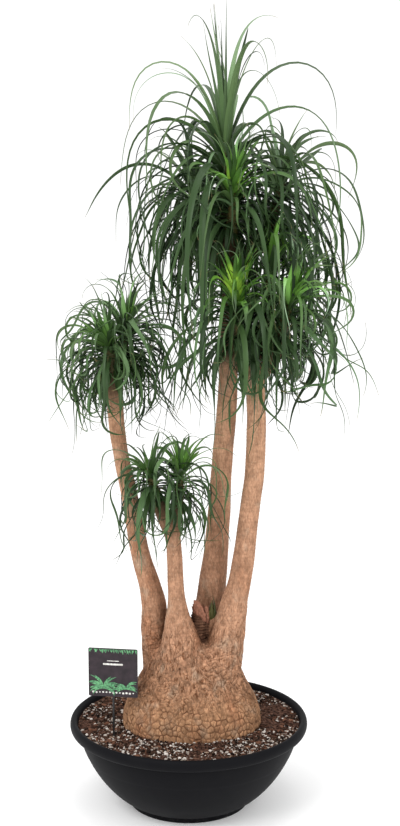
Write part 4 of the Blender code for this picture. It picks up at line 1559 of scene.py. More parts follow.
    def sheet(self, line: Sequence[Row], seed: float) -> np.ndarray:
        """The rows of a loose sheet of dead bark that hangs over the stub's front.

        Args:
            line: The x, y, z and width of places down its middle.
            seed: What makes its outline differ from the others.

        Returns:
            Its points, ring after ring from its top down.
        """
        rows = []
        smooth = smooth_line(line, 5)
        for step, (x, y, z, width) in enumerate(smooth):
            share = step / (len(smooth) - 1.0)
            half = 0.5 * width * (1.0 + 0.35 * noise_at(share * 6.0, seed, 2.0))
            for across, over in self.sheet_section:
                jag = 0.0030 * noise_at(across * 1.7, seed, share * 5.0)
                rows.append((x + half * across, y - self.rim_thick * over, z + jag))
        return np.array(rows)

    def build_torn_rim(self) -> bpy.types.Object:
        """Makes the torn flakes round the stub's hollow and the two loose sheets before it.

        Returns:
            The flakes and sheets as one piece.
        """
        batch = Batch()
        flakes = [self.shard(math.radians(turn), *sizes, 1.7 * k) for k, (turn, *sizes) in enumerate(self.flakes)]
        sheets = [self.sheet(line, 3.1 + k) for k, line in enumerate(self.sheets)]
        sides = len(self.flake_section)
        for number, rows in enumerate([*flakes, *sheets]):
            shade = 0.5 + 0.5 * noise_at(number * 2.3, 0.4, 0.9)
            rot = 0.35 * shade if number < len(flakes) else 0.05
            faces = sleeve(len(rows) // sides, sides)
            batch.add(rows, faces, crack=0.10, plate=shade, leafy=0.0, rot=rot, dirt=0.0, folded=0.4)
        finish = BarkFinish(name="torn_wood", stem=(0.350, 0.160, 0.105), belly=(0.350, 0.160, 0.105))
        return dress(batch.build("stub_torn_rim", finish.build(), math.radians(35.0)), Slot.BARK)

    def build(self) -> None:
        """Makes the trunk and the stub's torn end."""
        self.build_bark()
        self.build_torn_rim()


@dataclass(frozen=True)
class Habit:
    """How a leaf starts and bends. The age runs from 0, young, to 1, old, and above 1 for the skirt."""

    root: Vector
    heading: Vector
    length: float
    sag: float
    hang: float
    drift: float
    twist: float
    age: float


@dataclass(frozen=True)
class Curl:
    """How the outer half of a leaf departs from a plain arch."""

    inward: float = 0.0
    aside: float = 0.0
    wave: float = 0.0
    beats: float = 1.0
    phase: float = 0.0
    roll: float = 0.0

    def eased(self, share: float) -> Curl:
        """The same curl, weaker."""
        return replace(self, inward=self.inward * share, aside=self.aside * share, wave=self.wave * share)


PLAIN = Curl()


@dataclass
class Leaf:
    """The centre line of one leaf and how its blade lies along it."""

    points: list[Vector]
    headings: list[Vector]
    sides: list[Vector]
    rolls: list[float]
    width: float
    age: float


@dataclass
class Obstacle:
    """Something that leaves keep clear of. Leaves of its own head mind only its outer part."""

    whole: BVHTree
    outer: BVHTree
    low: np.ndarray
    high: np.ndarray
    owner: int

    @staticmethod
    def around(corners: Sequence[Vector], faces: Sequence[Triangle], outer_from: int, owner: int) -> Obstacle:
        """Makes an obstacle of a closed shape.

        Args:
            corners: Its corners.
            faces: Its triangles.
            outer_from: How many of the first triangles its own head ignores.
            owner: The number of its head, or -1.

        Returns:
            The obstacle.
        """
        rows = np.array(corners)
        whole = BVHTree.FromPolygons(corners, faces, all_triangles=True)
        outer = BVHTree.FromPolygons(corners, faces[outer_from:], all_triangles=True)
        return Obstacle(whole, outer, rows.min(0), rows.max(0), owner)

    def stops(self, other: Obstacle) -> bool:
        """True if the two cross where that matters.

        Args:
            other: The other obstacle.

        Returns:
            Whether they cross.
        """
        if (other.low > self.high).any() or (other.high < self.low).any():
            return False
        if self.owner == other.owner:
            return bool(other.outer.overlap(self.outer))
        return bool(other.whole.overlap(self.whole))


@dataclass
class Growth:
    """The rule by which strap leaves leave a stem, bend under their weight and keep clear of each other."""

    trunk: Trunk
    steps: int = 24
    fine_steps: int = 36
    fine_spans: int = 9
    golden_turn: float = math.pi * (3.0 - math.sqrt(5.0))
    opening_young: float = math.radians(5.0)
    opening_old: float = math.radians(104.0)
    opening_least: float = math.radians(2.0)
    opening_power: float = 0.95
    first_root: float = 0.004
    last_root: float = 0.008
    stray: float = 0.15
    stray_more: float = 0.02
    opening_stray: float = 0.35
    full_grown_at: float = 0.31
    old_shorter: float = 0.22
    length_spread: Pair = (0.80, 1.05)
    tries: int = 80
    more_tries: int = 9
    more_stray: Pair = (0.4, 0.2)
    sag_at_root: float = 0.25
    sag_gain: float = 1.5
    sag_power: float = 1.5
    sag_spread: Pair = (0.70, 1.25)
    hang: Pair = (math.radians(70.0), math.radians(106.0))
    drift: float = 1.5
    twist: float = 1.3
    bend_weight: float = 0.6
    depth: float = 0.0022
    tip_depth: float = 0.0012
    root_width: float = 0.40
    root_share: float = 0.22
    taper_power: float = 0.80
    thread_width: float = 0.10
    leaf_room: float = 0.0012
    stem_room: float = 0.003
    root_triangles: int = 7
    tube_sides: int = 12
    core_wider: float = 0.001
    core_past_tip: float = 0.006
    open_aim: Triple = (0.0, -0.99, 0.14)
    open_from: float = 0.03
    open_to: float = 0.26
    open_flare: float = 1.3
    view_aside: Triple = (-0.045, 0.0, 0.045)
    curl_inward: Pair = (0.1, 2.0)
    curl_outward: Pair = (0.1, 0.5)
    inward_share: float = 0.84
    curl_aside: float = 1.6
    curl_wave: Pair = (0.05, 0.45)
    curl_beats: Pair = (1.0, 2.4)
    curl_roll: float = 2.6
    calm: float = 0.35
    calm_until: Pair = (0.05, 0.30)
    gather_until: Pair = (0.28, 0.05)
    main_width: Pair = (0.64, 1.04)
    young_wider: float = 0.30
    wider_until: Pair = (0.24, 0.0)
    more_width: Pair = (0.28, 0.74)
    more_length: Pair = (0.42, 0.90)
    young_until: Pair = (0.16, 0.04)
    young_width: float = 1.1
    young_stiff: float = 0.6
    broad: float = 1.20
    broad_share: float = 0.08
    younger: float = 1.25
    skirt: float = 1.16
    outside: float = 0.018
    obstacles: list[Obstacle] = field(default_factory=list)
    fixed: list[Obstacle] = field(default_factory=list)
    views: list[Obstacle] = field(default_factory=list)

    def __post_init__(self) -> None:
        """Fills in the stems, the cores of the heads and the spaces before their hearts."""
        for line in self.trunk.lines(0.0):
            self.obstacles.append(self.around_tube(line, self.stem_room, -1))
        for owner, plan in enumerate(HEADS):
            seat = plan.seat().translation
            top = Vector(plan.tip) + plan.axis() * self.core_past_tip
            radius = plan.radius + self.core_wider
            core = ((*seat, radius), (*top, radius))
            self.obstacles.append(self.around_tube(core, self.leaf_room, owner))
            if plan.open_front > 0.0:
                heart = Vector(plan.tip) + plan.axis() * plan.open_front
                self.obstacles.append(self.open_space(heart, plan.open_front, owner))
            if plan.view > 0.0:
                self.views.append(self.open_space(Vector(plan.tip) + Vector(self.view_aside), plan.view, owner))
        self.fixed = list(self.obstacles)

    def open_space(self, middle: Vector, radius: float, owner: int) -> Obstacle:
        """A space that leaves leave open, from a place towards the viewer.

        Args:
            middle: The place.
            radius: The space's radius where it starts.
            owner: The number of the head to which it belongs.

        Returns:
            The space, as an obstacle.
        """
        aim = Vector(self.open_aim)
        near = (*(middle + aim * self.open_from), radius)
        far = (*(middle + aim * self.open_to), radius * self.open_flare)
        return self.around_tube((near, far), 0.0, owner)

    def around_tube(self, line: Sequence[Sequence[float]], spare: float, owner: int) -> Obstacle:
        """An obstacle round a tube.

        Args:
            line: The tube's x, y, z and radius.
            spare: How far the obstacle stands off it.
            owner: The number of the head whose leaves ignore it, or -1.

        Returns:
            The obstacle.
        """
        wide = [(x, y, z, radius + spare) for x, y, z, radius in line]
        corners, faces = tube(wide, self.tube_sides)
        triangles = [(face[0], face[k], face[k + 1]) for face in faces for k in range(1, len(face) - 1)]
        return Obstacle.around(corners, triangles, len(triangles), owner)

    @staticmethod
    def direction(pitch: float, turn: float) -> Vector:
        """The direction at a slope and a compass turn."""
        return Vector((math.cos(pitch) * math.cos(turn), math.cos(pitch) * math.sin(turn), math.sin(pitch)))

    def path(self, habit: Habit, curl: Curl, steps: int, width: float) -> Leaf:
        """Bends a leaf under its weight.

        Args:
            habit: How it starts and bends.
            curl: How its outer half winds.
            steps: How many steps its line has.
            width: Its greatest width.

        Returns:
            The leaf.
        """
        pitch = math.asin(max(-1.0, min(1.0, habit.heading.z)))
        turn = math.atan2(habit.heading.y, habit.heading.x)
        points = [habit.root.copy()]
        headings = [habit.heading]
        sides = [Vector((-math.sin(turn), math.cos(turn), 0.0))]
        rolls = [0.0]
        for k in range(steps):
            share = (k + 0.5) / steps
            pull = math.cos(pitch) if pitch > 0.0 else math.cos(pitch / habit.hang * math.pi / 2)
            pitch -= habit.sag * (self.sag_at_root + self.sag_gain * share) * pull / steps
            turn += habit.drift * share / steps
            beat = 2.0 * math.pi * (curl.beats * share + curl.phase)
            late = smooth_step(0.35, 1.0, share)
            bent = pitch + curl.wave * share * math.sin(beat) - curl.inward * late
            aside = turn + curl.wave * share * math.cos(0.8 * beat) + curl.aside * late
            headings.append(self.direction(bent, aside))
            points.append(points[-1] + headings[-1] * (habit.length / steps))
            sides.append(Vector((-math.sin(aside), math.cos(aside), 0.0)))
            end = (k + 1.0) / steps
            rolls.append(habit.twist * end + curl.roll * smooth_step(0.2, 1.0, end))
        return Leaf(points, headings, sides, rolls, width, habit.age)

    def joints(self, headings: Sequence[Vector], spans: int) -> list[int]:
        """The steps at which a leaf's straight runs meet, closer together where it bends more.

        Args:
            headings: The leaf's headings, step by step.
            spans: How many runs there are.

        Returns:
            The steps, with both ends.
        """
        steps = len(headings) - 1
        travel = [0.0]
        for before, after in zip(headings[:-1], headings[1:]):
            travel.append(travel[-1] + 1.0 / steps + self.bend_weight * before.angle(after))
        found = [0]
        for span in range(1, spans):
            goal = travel[-1] * span / spans
            nearest = min(range(len(travel)), key=lambda k: abs(travel[k] - goal))
            found.append(max(found[-1] + 1, nearest))
        return found + [steps]

    def wedge(self, leaf: Leaf, spans: int, spare: float) -> tuple[list[Vector], list[Triangle]]:
        """The plain three-sided form of a leaf, by which it is fitted among the others.

        Args:
            leaf: The leaf.
            spans: How many straight runs the form has.
            spare: How far the form stands off the leaf.

        Returns:
            Its corners and triangles.
        """
        corners = []
        steps = len(leaf.points) - 1
        for station in self.joints(leaf.headings, spans)[:-1]:
            share = station / steps
            heading = leaf.headings[station]
            side = Matrix.Rotation(leaf.rolls[station], 3, heading) @ leaf.sides[station]
            face = side.cross(heading)
            half = side * (0.5 * self.plain_width(share, leaf.width) + spare)
            depth = self.depth + (self.tip_depth - self.depth) * share
            low = leaf.points[station] - face * spare
            high = leaf.points[station] + face * (depth + spare)
            corners += [low - half, low + half, high]
        corners.append(leaf.points[-1])
        triangles = [(0, 1, 2)]
        for low in range(0, len(corners) - 4, 3):
            for a, b in ((0, 1), (1, 2), (2, 0)):
                triangles.append((low + a, low + 3 + a, low + 3 + b))
                triangles.append((low + a, low + 3 + b, low + b))
        tip = len(corners) - 1
        triangles += [(tip - 3 + a, tip, tip - 3 + b) for a, b in ((0, 1), (1, 2), (2, 0))]
        return corners, triangles

    def plain_width(self, share: float, width: float) -> float:
        """Width of a leaf's plain form along its length.

        Args:
            share: The place along the leaf, from 0 to 1.
            width: The leaf's greatest width.

        Returns:
            The width there.
        """
        if share < self.root_share:
            return width * (self.root_width + (1.0 - self.root_width) * share / self.root_share)
        left = (1.0 - share) / (1.0 - self.root_share)
        return width * max(self.thread_width, left**self.taper_power)

    def draw_habit(self, plan: HeadPlan, age: float, turn: float, stray: float, draw: random.Random) -> Habit:
        """Draws one leaf's habit at random.

        Args:
            plan: Its head.
            age: Its age, from 0 for the youngest to 1 for the oldest.
            turn: The side of the head on which it belongs.
            stray: How far it may stray from there.
            draw: The source of chance.

        Returns:
            The habit.
        """
        turn += draw.uniform(-stray, stray)
        opening = self.opening_young + (self.opening_old - self.opening_young) * age**self.opening_power
        opening = max(self.opening_least, opening + draw.uniform(-stray, stray) * self.opening_stray)
        heading = plan.seat().to_3x3() @ self.direction(math.pi / 2 - opening, turn)
        grown = plan.spear + (1.0 - plan.spear) * min(1.0, age / self.full_grown_at)
        grown *= (1.0 - self.old_shorter * age**2) * draw.uniform(*self.length_spread)
        sag = plan.sag * grown**self.sag_power * draw.uniform(*self.sag_spread)
        hang = -draw.uniform(*self.hang)
        drift = draw.uniform(-self.drift, self.drift)
        twist = draw.uniform(-self.twist, self.twist)
        down = self.first_root + (plan.leafy - self.first_root - self.last_root) * age
        root = Vector(plan.tip) - plan.axis() * down
        return Habit(root, heading, plan.length * grown, sag, hang, drift, twist, age)

    def draw_curl(self, plan: HeadPlan, age: float, draw: random.Random) -> Curl:
        """Draws how a leaf's end winds: mostly inward, some outward, and the young ones less.

        Args:
            plan: The leaf's head.
            age: The leaf's age.
            draw: The source of chance.

        Returns:
            The curl.
        """
        amount = plan.curl * (self.calm + (1.0 - self.calm) * smooth_step(*self.calm_until, age))
        if draw.random() < self.inward_share:
            inward = draw.uniform(*self.curl_inward)
        else:
            inward = -draw.uniform(*self.curl_outward)
        aside = draw.uniform(-self.curl_aside, self.curl_aside)
        wave, beats, phase = draw.uniform(*self.curl_wave), draw.uniform(*self.curl_beats), draw.random()
        roll = draw.uniform(-self.curl_roll, self.curl_roll)
        return Curl(inward * amount, aside * amount, wave * amount, beats, phase, roll)

    def wind(
        self, owner: int, habit: Habit, width: float, draw: random.Random, fixed: Sequence[Obstacle]
    ) -> Leaf | None:
        """Gives a leaf the strongest curl with which it stays clear and inside its node's box.

        Args:
            owner: Its head's number.
            habit: How it starts and bends.
            width: Its greatest width.
            draw: The source of chance.
            fixed: What it keeps clear of.

        Returns:
            The leaf, or None if even its plain arch doesn't fit.
        """
        plan = HEADS[owner]
        low, high = (np.array(corner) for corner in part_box(plan.name))
        curl = self.draw_curl(plan, habit.age, draw)
        drawn_in = plan.gather * smooth_step(*self.gather_until, habit.age)
        heading = habit.heading.lerp(plan.axis(), drawn_in).normalized()
        stiff = 1.0 - max(0.0, drawn_in)
        sag, hang = habit.sag * (1.0 + plan.droop) * stiff, habit.hang * plan.steep
        habit = replace(habit, heading=heading, sag=sag, hang=hang)
        curl = curl.eased(stiff)
        for ease in (1.0, 0.5, 0.0):
            leaf = self.path(habit, curl.eased(ease), self.fine_steps, width)
            rows = np.array(leaf.points)
            if (rows < low - self.outside).any() or (rows > high + self.outside).any():
                continue
            new = Obstacle.around(*self.wedge(leaf, self.fine_spans, 0.0), self.root_triangles, owner)
            if not any(other.stops(new) for other in fixed):
                return leaf
        return None

    def grow_main(self, owner: int, fixed: Sequence[Obstacle]) -> list[Leaf]:
        """The main leaves of a head, which spring and bend as in the model, youngest first.

        Args:
            owner: The head's number.
            fixed: What their ends keep clear of.

        Returns:
            The leaves.
        """
        plan = HEADS[owner]
        draw, more = random.Random(plan.seed), random.Random(plan.seed + 700)
        leaves = []
        for number in range(plan.leaves):
            age = (number + 0.5) / plan.leaves
            for attempt in range(self.tries):
                stray = self.stray + self.stray_more * attempt
                habit = self.draw_habit(plan, age, number * self.golden_turn, stray, draw)
                leaf = self.path(habit, PLAIN, self.steps, plan.width)
                new = Obstacle.around(*self.wedge(leaf, plan.spans, self.leaf_room), self.root_triangles, owner)
                if any(other.stops(new) for other in self.obstacles):
                    continue
                self.obstacles.append(new)
                wider = 1.0 + self.young_wider * smooth_step(*self.wider_until, age)
                width = plan.width * more.uniform(*self.main_width) * wider
                leaves.append(self.wind(owner, habit, width, more, fixed) or leaf)
                break
        return leaves

    def grow_more(self, owner: int, fixed: Sequence[Obstacle]) -> list[Leaf]:
        """Further leaves between the main ones of a head, and a skirt of old ones under it.

        Args:
            owner: The head's number.
            fixed: What they keep clear of.

        Returns:
            The leaves that fit.
        """
        plan = HEADS[owner]
        draw = random.Random(plan.seed + 500)
        leaves = []
        for number in range(plan.more):
            age = plan.first_age + self.skirt * ((number + 0.5) / plan.more) ** self.younger
            young = smooth_step(*self.young_until, age)
            for attempt in range(self.more_tries):
                stray = self.more_stray[0] + self.more_stray[1] * attempt
                habit = self.draw_habit(plan, age, number * self.golden_turn + 1.0, stray, draw)
                shorter = plan.reach * draw.uniform(*self.more_length) * (1.0 - young) + young
                stiff = 1.0 - self.young_stiff * young
                habit = replace(habit, length=habit.length * shorter, sag=habit.sag * stiff)
                share = self.broad if draw.random() < self.broad_share else draw.uniform(*self.more_width)
                width = plan.width * (share * (1.0 - young) + self.young_width * young)
                leaf = self.wind(owner, habit, width, draw, fixed)
                if leaf:
                    leaves.append(leaf)
                    break
        return leaves

    def fixed_for(self, owner: int) -> list[Obstacle]:
        """All stems, cores and open spaces but the head's own branch, on which its skirt grows, and its own view.

        Args:
            owner: The head's number.

        Returns:
            The obstacles.
        """
        own_branch = len(self.trunk.stems()) + owner
        others = [view for view in self.views if view.owner != owner]
        return [obstacle for k, obstacle in enumerate(self.fixed) if k != own_branch] + others


@dataclass
class Head:
    """One head: a core of stacked leaf bases and all of its leaves, each a thin folded blade."""

    plan: HeadPlan
    material: bpy.types.Material
    across: tuple[float, ...] = (0.50, 0.17, -0.17, -0.50, -0.17, 0.17)
    over: tuple[int, ...] = (2, 1, 1, 2, 0, 0)
    thick_root: float = 0.0013
    thick_tip: float = 0.0006
    fold: float = 0.16
    root_width: float = 0.70
    widest_at: float = 0.20
    taper: float = 0.80
    young_taper: float = 0.45
    taper_until: Pair = (0.40, 0.10)
    thread: float = 0.050
    core_sides: int = 20
    core_rings: int = 26
    core_taper: float = 0.40
    core_wider: float = 0.001
    core_taller: float = 0.006
    core_above: float = 0.0003
    scar_share: float = 0.05
    sheath: float = 0.0
    broad: float = 1.15
    broad_from: float = 0.3
    broad_sheen_tone: float = 0.90
    fresh_until: Pair = (0.42, 0.04)
    fresh_end: float = 0.88
    fresh_fade: float = 0.66
    fresh_least: float = 0.62
    fresh_tone: float = 0.60
    sharp: float = math.radians(70.0)

    def width(self, share: np.ndarray, width: float, age: float) -> np.ndarray:
        """Width of a leaf along its length, from a clasping base to a thread, which a young one nears sooner.

        Args:
            share: Places along the leaf, from 0 to 1.
            width: The leaf's greatest width.
            age: The leaf's age.

        Returns:
            The width at each place.
        """
        rising = self.root_width + (1.0 - self.root_width) * share / self.widest_at
        taper = self.taper + self.young_taper * smooth_step(*self.taper_until, age)
        falling = np.maximum(1e-4, (1.0 - share) / (1.0 - self.widest_at)) ** taper
        return width * np.where(share < self.widest_at, rising, np.maximum(self.thread, falling))

    def add_leaf(self, batch: Batch, leaf: Leaf, tone: float) -> None:
        """Adds one leaf as a closed blade with raised edges.

        Args:
            batch: The head's mesh so far.
            leaf: The leaf's line.
            tone: Its tone, from 0 to 1, which paints a sheen where it is highest.
        """
        share = np.linspace(0.0, 1.0, len(leaf.points))[:-1]
        points = np.array(leaf.points)
        headings = np.array(leaf.headings)[:-1]
        sides = np.array(leaf.sides)[:-1]
        roll = np.array(leaf.rolls)[:-1, None]
        sides = sides * np.cos(roll) + np.cross(headings, sides) * np.sin(roll)
        up = -np.cross(sides, headings)
        width = self.width(share, leaf.width, leaf.age)
        half_thick = 0.5 * (self.thick_root + (self.thick_tip - self.thick_root) * share)
        fold = self.fold * width * (1.0 - 0.5 * share)
        lifts = np.column_stack((-half_thick, half_thick, half_thick + fold))
        lines = []
        for across, over in zip(self.across, self.over):
            lines.append(points[:-1] + sides * (across * width)[:, None] + up * lifts[:, over][:, None])
        count = len(self.across)
        rows = np.stack(lines, axis=1).reshape(-1, 3)
        last = len(rows) - count
        tip = [[last + k, last + (k + 1) % count, len(rows)] for k in range(count)]
        fresh = self.freshness(leaf.age, share) * min(1.0, self.fresh_least + self.fresh_tone * tone)
        batch.add(
            np.vstack([rows, points[-1]]),
            [list(reversed(range(count))), *bridge(len(share), count), *tip],
            along=np.append(np.repeat(share, count), 1.0),
            across=np.append(np.tile(np.array(self.across) * 2.0, len(share)), 0.0),
            age=min(1.0, leaf.age),
            tone=tone,
            fresh=np.append(np.repeat(fresh, count), 0.0),
            sheath=self.sheath * smooth_step(0.0, 0.16, leaf.age),
        )

    def freshness(self, age: float, share: np.ndarray) -> np.ndarray:
        """How bright a leaf is along its length: only the young ones are, and most at the base."""
        ahead = np.clip((self.fresh_end - share) / self.fresh_fade, 0.0, 1.0)
        return self.plan.heart * smooth_step(*self.fresh_until, age) * ahead * ahead * (3.0 - 2.0 * ahead)

    def add_core(self, batch: Batch) -> None:
        """Adds the core, ringed by the scars of fallen leaves.

        Args:
            batch: The head's mesh so far.
        """
        plan = self.plan
        height = plan.leafy + self.core_taller
        line = []
        for k in range(self.core_rings + 1):
            share = k / self.core_rings
            centre = plan.seat() @ Vector((0.0, 0.0, self.core_above + height * share))
            radius = (plan.radius + self.core_wider) * (1.0 - share) + plan.radius * self.core_taper * share
            line.append((*centre, radius * (1.0 + self.scar_share * (k % 2))))
        rows, faces = tube(line, self.core_sides)
        batch.add(np.array(rows), faces, along=0.5, across=0.0, age=1.0, tone=0.5, fresh=0.0, sheath=1.0)

    def build(self, leaves: Sequence[Leaf]) -> bpy.types.Object:
        """Makes the head.

        Args:
            leaves: The lines of its leaves.

        Returns:
            The head as one piece.
        """
        draw = random.Random(self.plan.seed + 900)
        batch = Batch()
        self.add_core(batch)
        for leaf in leaves:
            tone = draw.random()
            # Broad leaves past their youth take a high tone, which paints them a pale blue-grey sheen.
            if leaf.width >= self.plan.width * self.broad and leaf.age >= self.broad_from:
                tone = self.broad_sheen_tone
            self.add_leaf(batch, leaf, tone)
        made = batch.build(self.plan.name + "_leaves", self.material, self.sharp)
        return dress(made, Slot.LEAF, self.plan.name)


@dataclass
class Shoot(Head):
    """The small bud beside the stub: short olive sheaths that close to a point, and one thin leaf above them.

    Each blade is given by the side on which it stands in degrees, its top's height, its width and its bulge.
    """

    foot: Triple = (0.0540, -0.0185, 0.4330)
    aim: Pair = (0.0530, -0.0210)
    blades: tuple[Row, ...] = (
        (318.0, 0.5000, 0.0066, 0.0086), (20.0, 0.4850, 0.0090, 0.0066), (160.0, 0.4800, 0.0100, 0.0068),
        (262.0, 0.4840, 0.0088, 0.0058), (90.0, 0.4790, 0.0100, 0.0066), (215.0, 0.4700, 0.0090, 0.0078),
        (345.0, 0.4760, 0.0090, 0.0084),
    )
    sheath: float = 0.92
    widest_at: float = 0.42
    steps: int = 14
    spread: float = 0.0025
    leaf_age: float = 0.08
    sheath_age: float = 0.8

    def sprouts(self) -> list[Leaf]:
        """The lines of its blades.

        Returns:
            The blades' lines, the thin leaf first.
        """
        made = []
        for number, (degrees, top, width, bulge) in enumerate(self.blades):
            turn = math.radians(degrees)
            spoke = Vector((math.cos(turn), math.sin(turn), 0.0))
            end = Vector((*self.aim, top))
            points = []
            for k in range(self.steps + 1):
                share = k / self.steps
                out = self.spread * (1.0 - share) + bulge * math.sin(math.pi * share**0.9)
                points.append(Vector(self.foot).lerp(end, share) + spoke * out)
            headings = [(after - before).normalized() for before, after in zip(points[:-1], points[1:])]
            headings.append(headings[-1])
            sides = [heading.cross(spoke).normalized() for heading in headings]
            age = self.leaf_age if number == 0 else self.sheath_age
            made.append(Leaf(points, headings, sides, [0.0] * len(points), width, age))
        return made


@dataclass
class Label:
    """The square plant label: a dark card with printed fans of strap leaves, on a thin stake.

    A fan is its root's place across and up the card, its size and its number of leaves, and a bar is its half
    width, its height on the card and its thickness.
    """

    foot: Triple = (-0.168, -0.098, 0.188)
    turn: float = math.radians(-8.4)
    side: float = 0.112
    thickness: float = 0.0015
    bottom: float = 0.095
    stake_width: float = 0.0045
    stake_thickness: float = 0.0022
    stake_depth: float = 0.050
    stake_up: float = 0.060
    gap: float = 0.0003
    corner: float = 0.003
    chamfer: float = 0.0005
    point: Pair = (0.006, 0.25)
    margin: float = 0.0015
    sharp: float = math.radians(40.0)
    ink: float = 0.00012
    fans: tuple[tuple[float, float, float, int], ...] = (
        (-0.20, 0.17, 0.40, 19), (0.27, 0.17, 0.29, 15), (0.05, 0.15, 0.16, 9),
    )
    fringe: int = 34
    pebbles: int = 13
    bars: tuple[Triple, ...] = ((0.20, 0.655, 0.0040), (0.12, 0.735, 0.0016))
    seed: int = 5

    def finish(
        self, batch: Batch, name: str, material: bpy.types.Material, slot: Slot, *nodes: str
    ) -> bpy.types.Object:
        """Makes a piece from the label's own frame and sets it where the label stands.

        Args:
            batch: The piece's mesh.
            name: Its name.
            material: Its material.
            slot: Its material slot.
            *nodes: The nodes of the model that it stands for.

        Returns:
            The piece.
        """
        made = batch.build(name, material, self.sharp)
        made.location = self.foot
        made.rotation_euler.z = self.turn
        return dress(made, slot, *nodes)

    def back(self) -> float:
        """The card's back face in the label's frame."""
        return -self.stake_thickness / 2 - self.gap

    def front(self) -> float:
        """The card's front face in the label's frame."""
        return self.back() - self.thickness

    def plate(self, batch: Batch, outline: Sequence[Pair], back: float, face: float) -> None:
        """Adds a flat plate.

        Args:
            batch: The mesh so far.
            outline: Its outline in x and z, anticlockwise as seen from the front.
            back: The y of its back.
            face: The y of its front.
        """
        count = len(outline)
        rows = [(x, y, z) for y in (face, back) for x, z in outline]
        faces = [list(range(count)), list(reversed(range(count, 2 * count)))]
        for k in range(count):
            after = (k + 1) % count
            faces.append([k, k + count, after + count, after])
        batch.add(np.array(rows), faces)

    def printed(self, batch: Batch, outline: Sequence[Pair], layers: float = 1.0) -> None:
        """Prints an outline on the card, so many layers of ink high."""
        self.plate(batch, outline, self.front() + self.ink, self.front() - self.ink * layers)

    def rounded(self, low: Pair, high: Pair, radius: float) -> list[Pair]:
        """A rectangle with round corners, anticlockwise as seen from the front.

        Args:
            low: Its lower left corner.
            high: Its upper right corner.
            radius: The radius of its corners.

        Returns:
            The outline.
        """
        left, right, under, over = low[0] + radius, high[0] - radius, low[1] + radius, high[1] - radius
        corners = ((right, over, 0.0), (left, over, 0.5), (left, under, 1.0), (right, under, 1.5))
        turns = ((x, z, (start + step / 10.0) * math.pi) for x, z, start in corners for step in range(6))
        return [(x + radius * math.cos(turn), z + radius * math.sin(turn)) for x, z, turn in turns]

    def build_card(self) -> bpy.types.Object:
        """Makes the card.

        Returns:
            The card.
        """
        batch = Batch()
        half = self.side / 2
        outline = self.rounded((-half, self.bottom), (half, self.bottom + self.side), self.corner)
        self.plate(batch, outline, self.back(), self.front())
        return self.finish(batch, "label_card_front", CardFinish().build(), Slot.CARD, "label_card")

    def blade(self, root: np.ndarray, lean: float, length: float, bend: float, width: float) -> list[Pair]:
        """The outline of one printed strap leaf.

        Args:
            root: Where it starts, in the card's plane.
            lean: The way it sets out, anticlockwise from the card's right.
            length: Its length.
            bend: How far it turns clockwise on its way.
            width: Half its greatest width.

        Returns:
            The outline, kept inside the card.
        """
        spine, heading = [root.copy()], lean
        for _ in range(9):
            heading -= bend / 9.0
            spine.append(spine[-1] + length / 9.0 * np.array((math.cos(heading), math.sin(heading))))
        rows = np.array(spine)
        ahead = np.gradient(rows, axis=0)
        ahead /= np.maximum(1e-9, np.linalg.norm(ahead, axis=1))[:, None]
        aside = np.column_stack((-ahead[:, 1], ahead[:, 0]))
        wide = width * np.sin(np.linspace(0.35, math.pi - 0.02, len(rows)))[:, None]
        outline = np.vstack([rows - aside * wide, (rows + aside * wide)[::-1]])
        half = self.side / 2 - self.margin
        outline[:, 0] = np.clip(outline[:, 0], -half, half)
        outline[:, 1] = np.clip(outline[:, 1], self.bottom + self.margin, self.bottom + self.side - self.margin)
        return [tuple(point) for point in outline]

    def build_fan(self) -> bpy.types.Object:
        """Makes the printed fans of strap leaves and the fringe of leaves along the card's top.

        Returns:
            The fans and the fringe as one piece.
        """
        draw = random.Random(self.seed)
        outlines = []
        for across, up, size, count in self.fans:
            root = np.array((self.side * across, self.bottom + self.side * up))
            for k in range(count):
                lean = math.radians(14.0 + 152.0 * (k + draw.uniform(-0.3, 0.3)) / (count - 1.0))
                length = self.side * size * draw.uniform(0.75, 1.1) * (1.0 - 0.25 * abs(math.cos(lean)))
                bend = draw.uniform(0.8, 1.8) * (1.0 if lean < math.pi / 2 else -1.0)
                outlines.append(self.blade(root, lean, length, bend, 0.0040 * size + 0.0004))
        for k in range(self.fringe):
            across = (k / (self.fringe - 1.0) - 0.5) * 0.96
            root = np.array((self.side * across, self.bottom + self.side - 0.0016))
            lean = math.radians(draw.uniform(215.0, 325.0))
            outlines.append(self.blade(root, lean, self.side * draw.uniform(0.05, 0.11), 0.4, 0.0011))
        batch = Batch()
        for k, outline in enumerate(outlines):
            self.printed(batch, outline, 1.0 + 0.01 * k)
        ink = PrintFinish("print_green", (0.022, 0.120, 0.048), (0.130, 0.400, 0.170))
        return self.finish(batch, "label_fan", ink.build(), Slot.CARD)

    def build_dots(self) -> bpy.types.Object:
        """Makes the printed row of pale pebbles and two pale bars above the fans.

        Returns:
            The pebbles and the bars as one piece.
        """
        draw = random.Random(self.seed + 1)
        batch = Batch()
        turns = [2.0 * math.pi * step / 14 for step in range(14)]
        for k in range(self.pebbles):
            x = (k - (self.pebbles - 1.0) / 2.0) * self.side * 0.068
            radius = draw.uniform(0.0014, 0.0026)
            z = self.bottom + 0.0095 + draw.uniform(-0.001, 0.001)
            self.printed(batch, [(x + radius * 1.15 * math.cos(turn), z + radius * math.sin(turn)) for turn in turns])
        for half, up, thick in self.bars:
            low = (-self.side * half, self.bottom + self.side * up)
            self.printed(batch, self.rounded(low, (self.side * half, low[1] + thick), 0.0007))
        ink = PrintFinish("print_pale", (0.50, 0.48, 0.44), (0.80, 0.80, 0.76))
        return self.finish(batch, "label_pebbles", ink.build(), Slot.CARD)

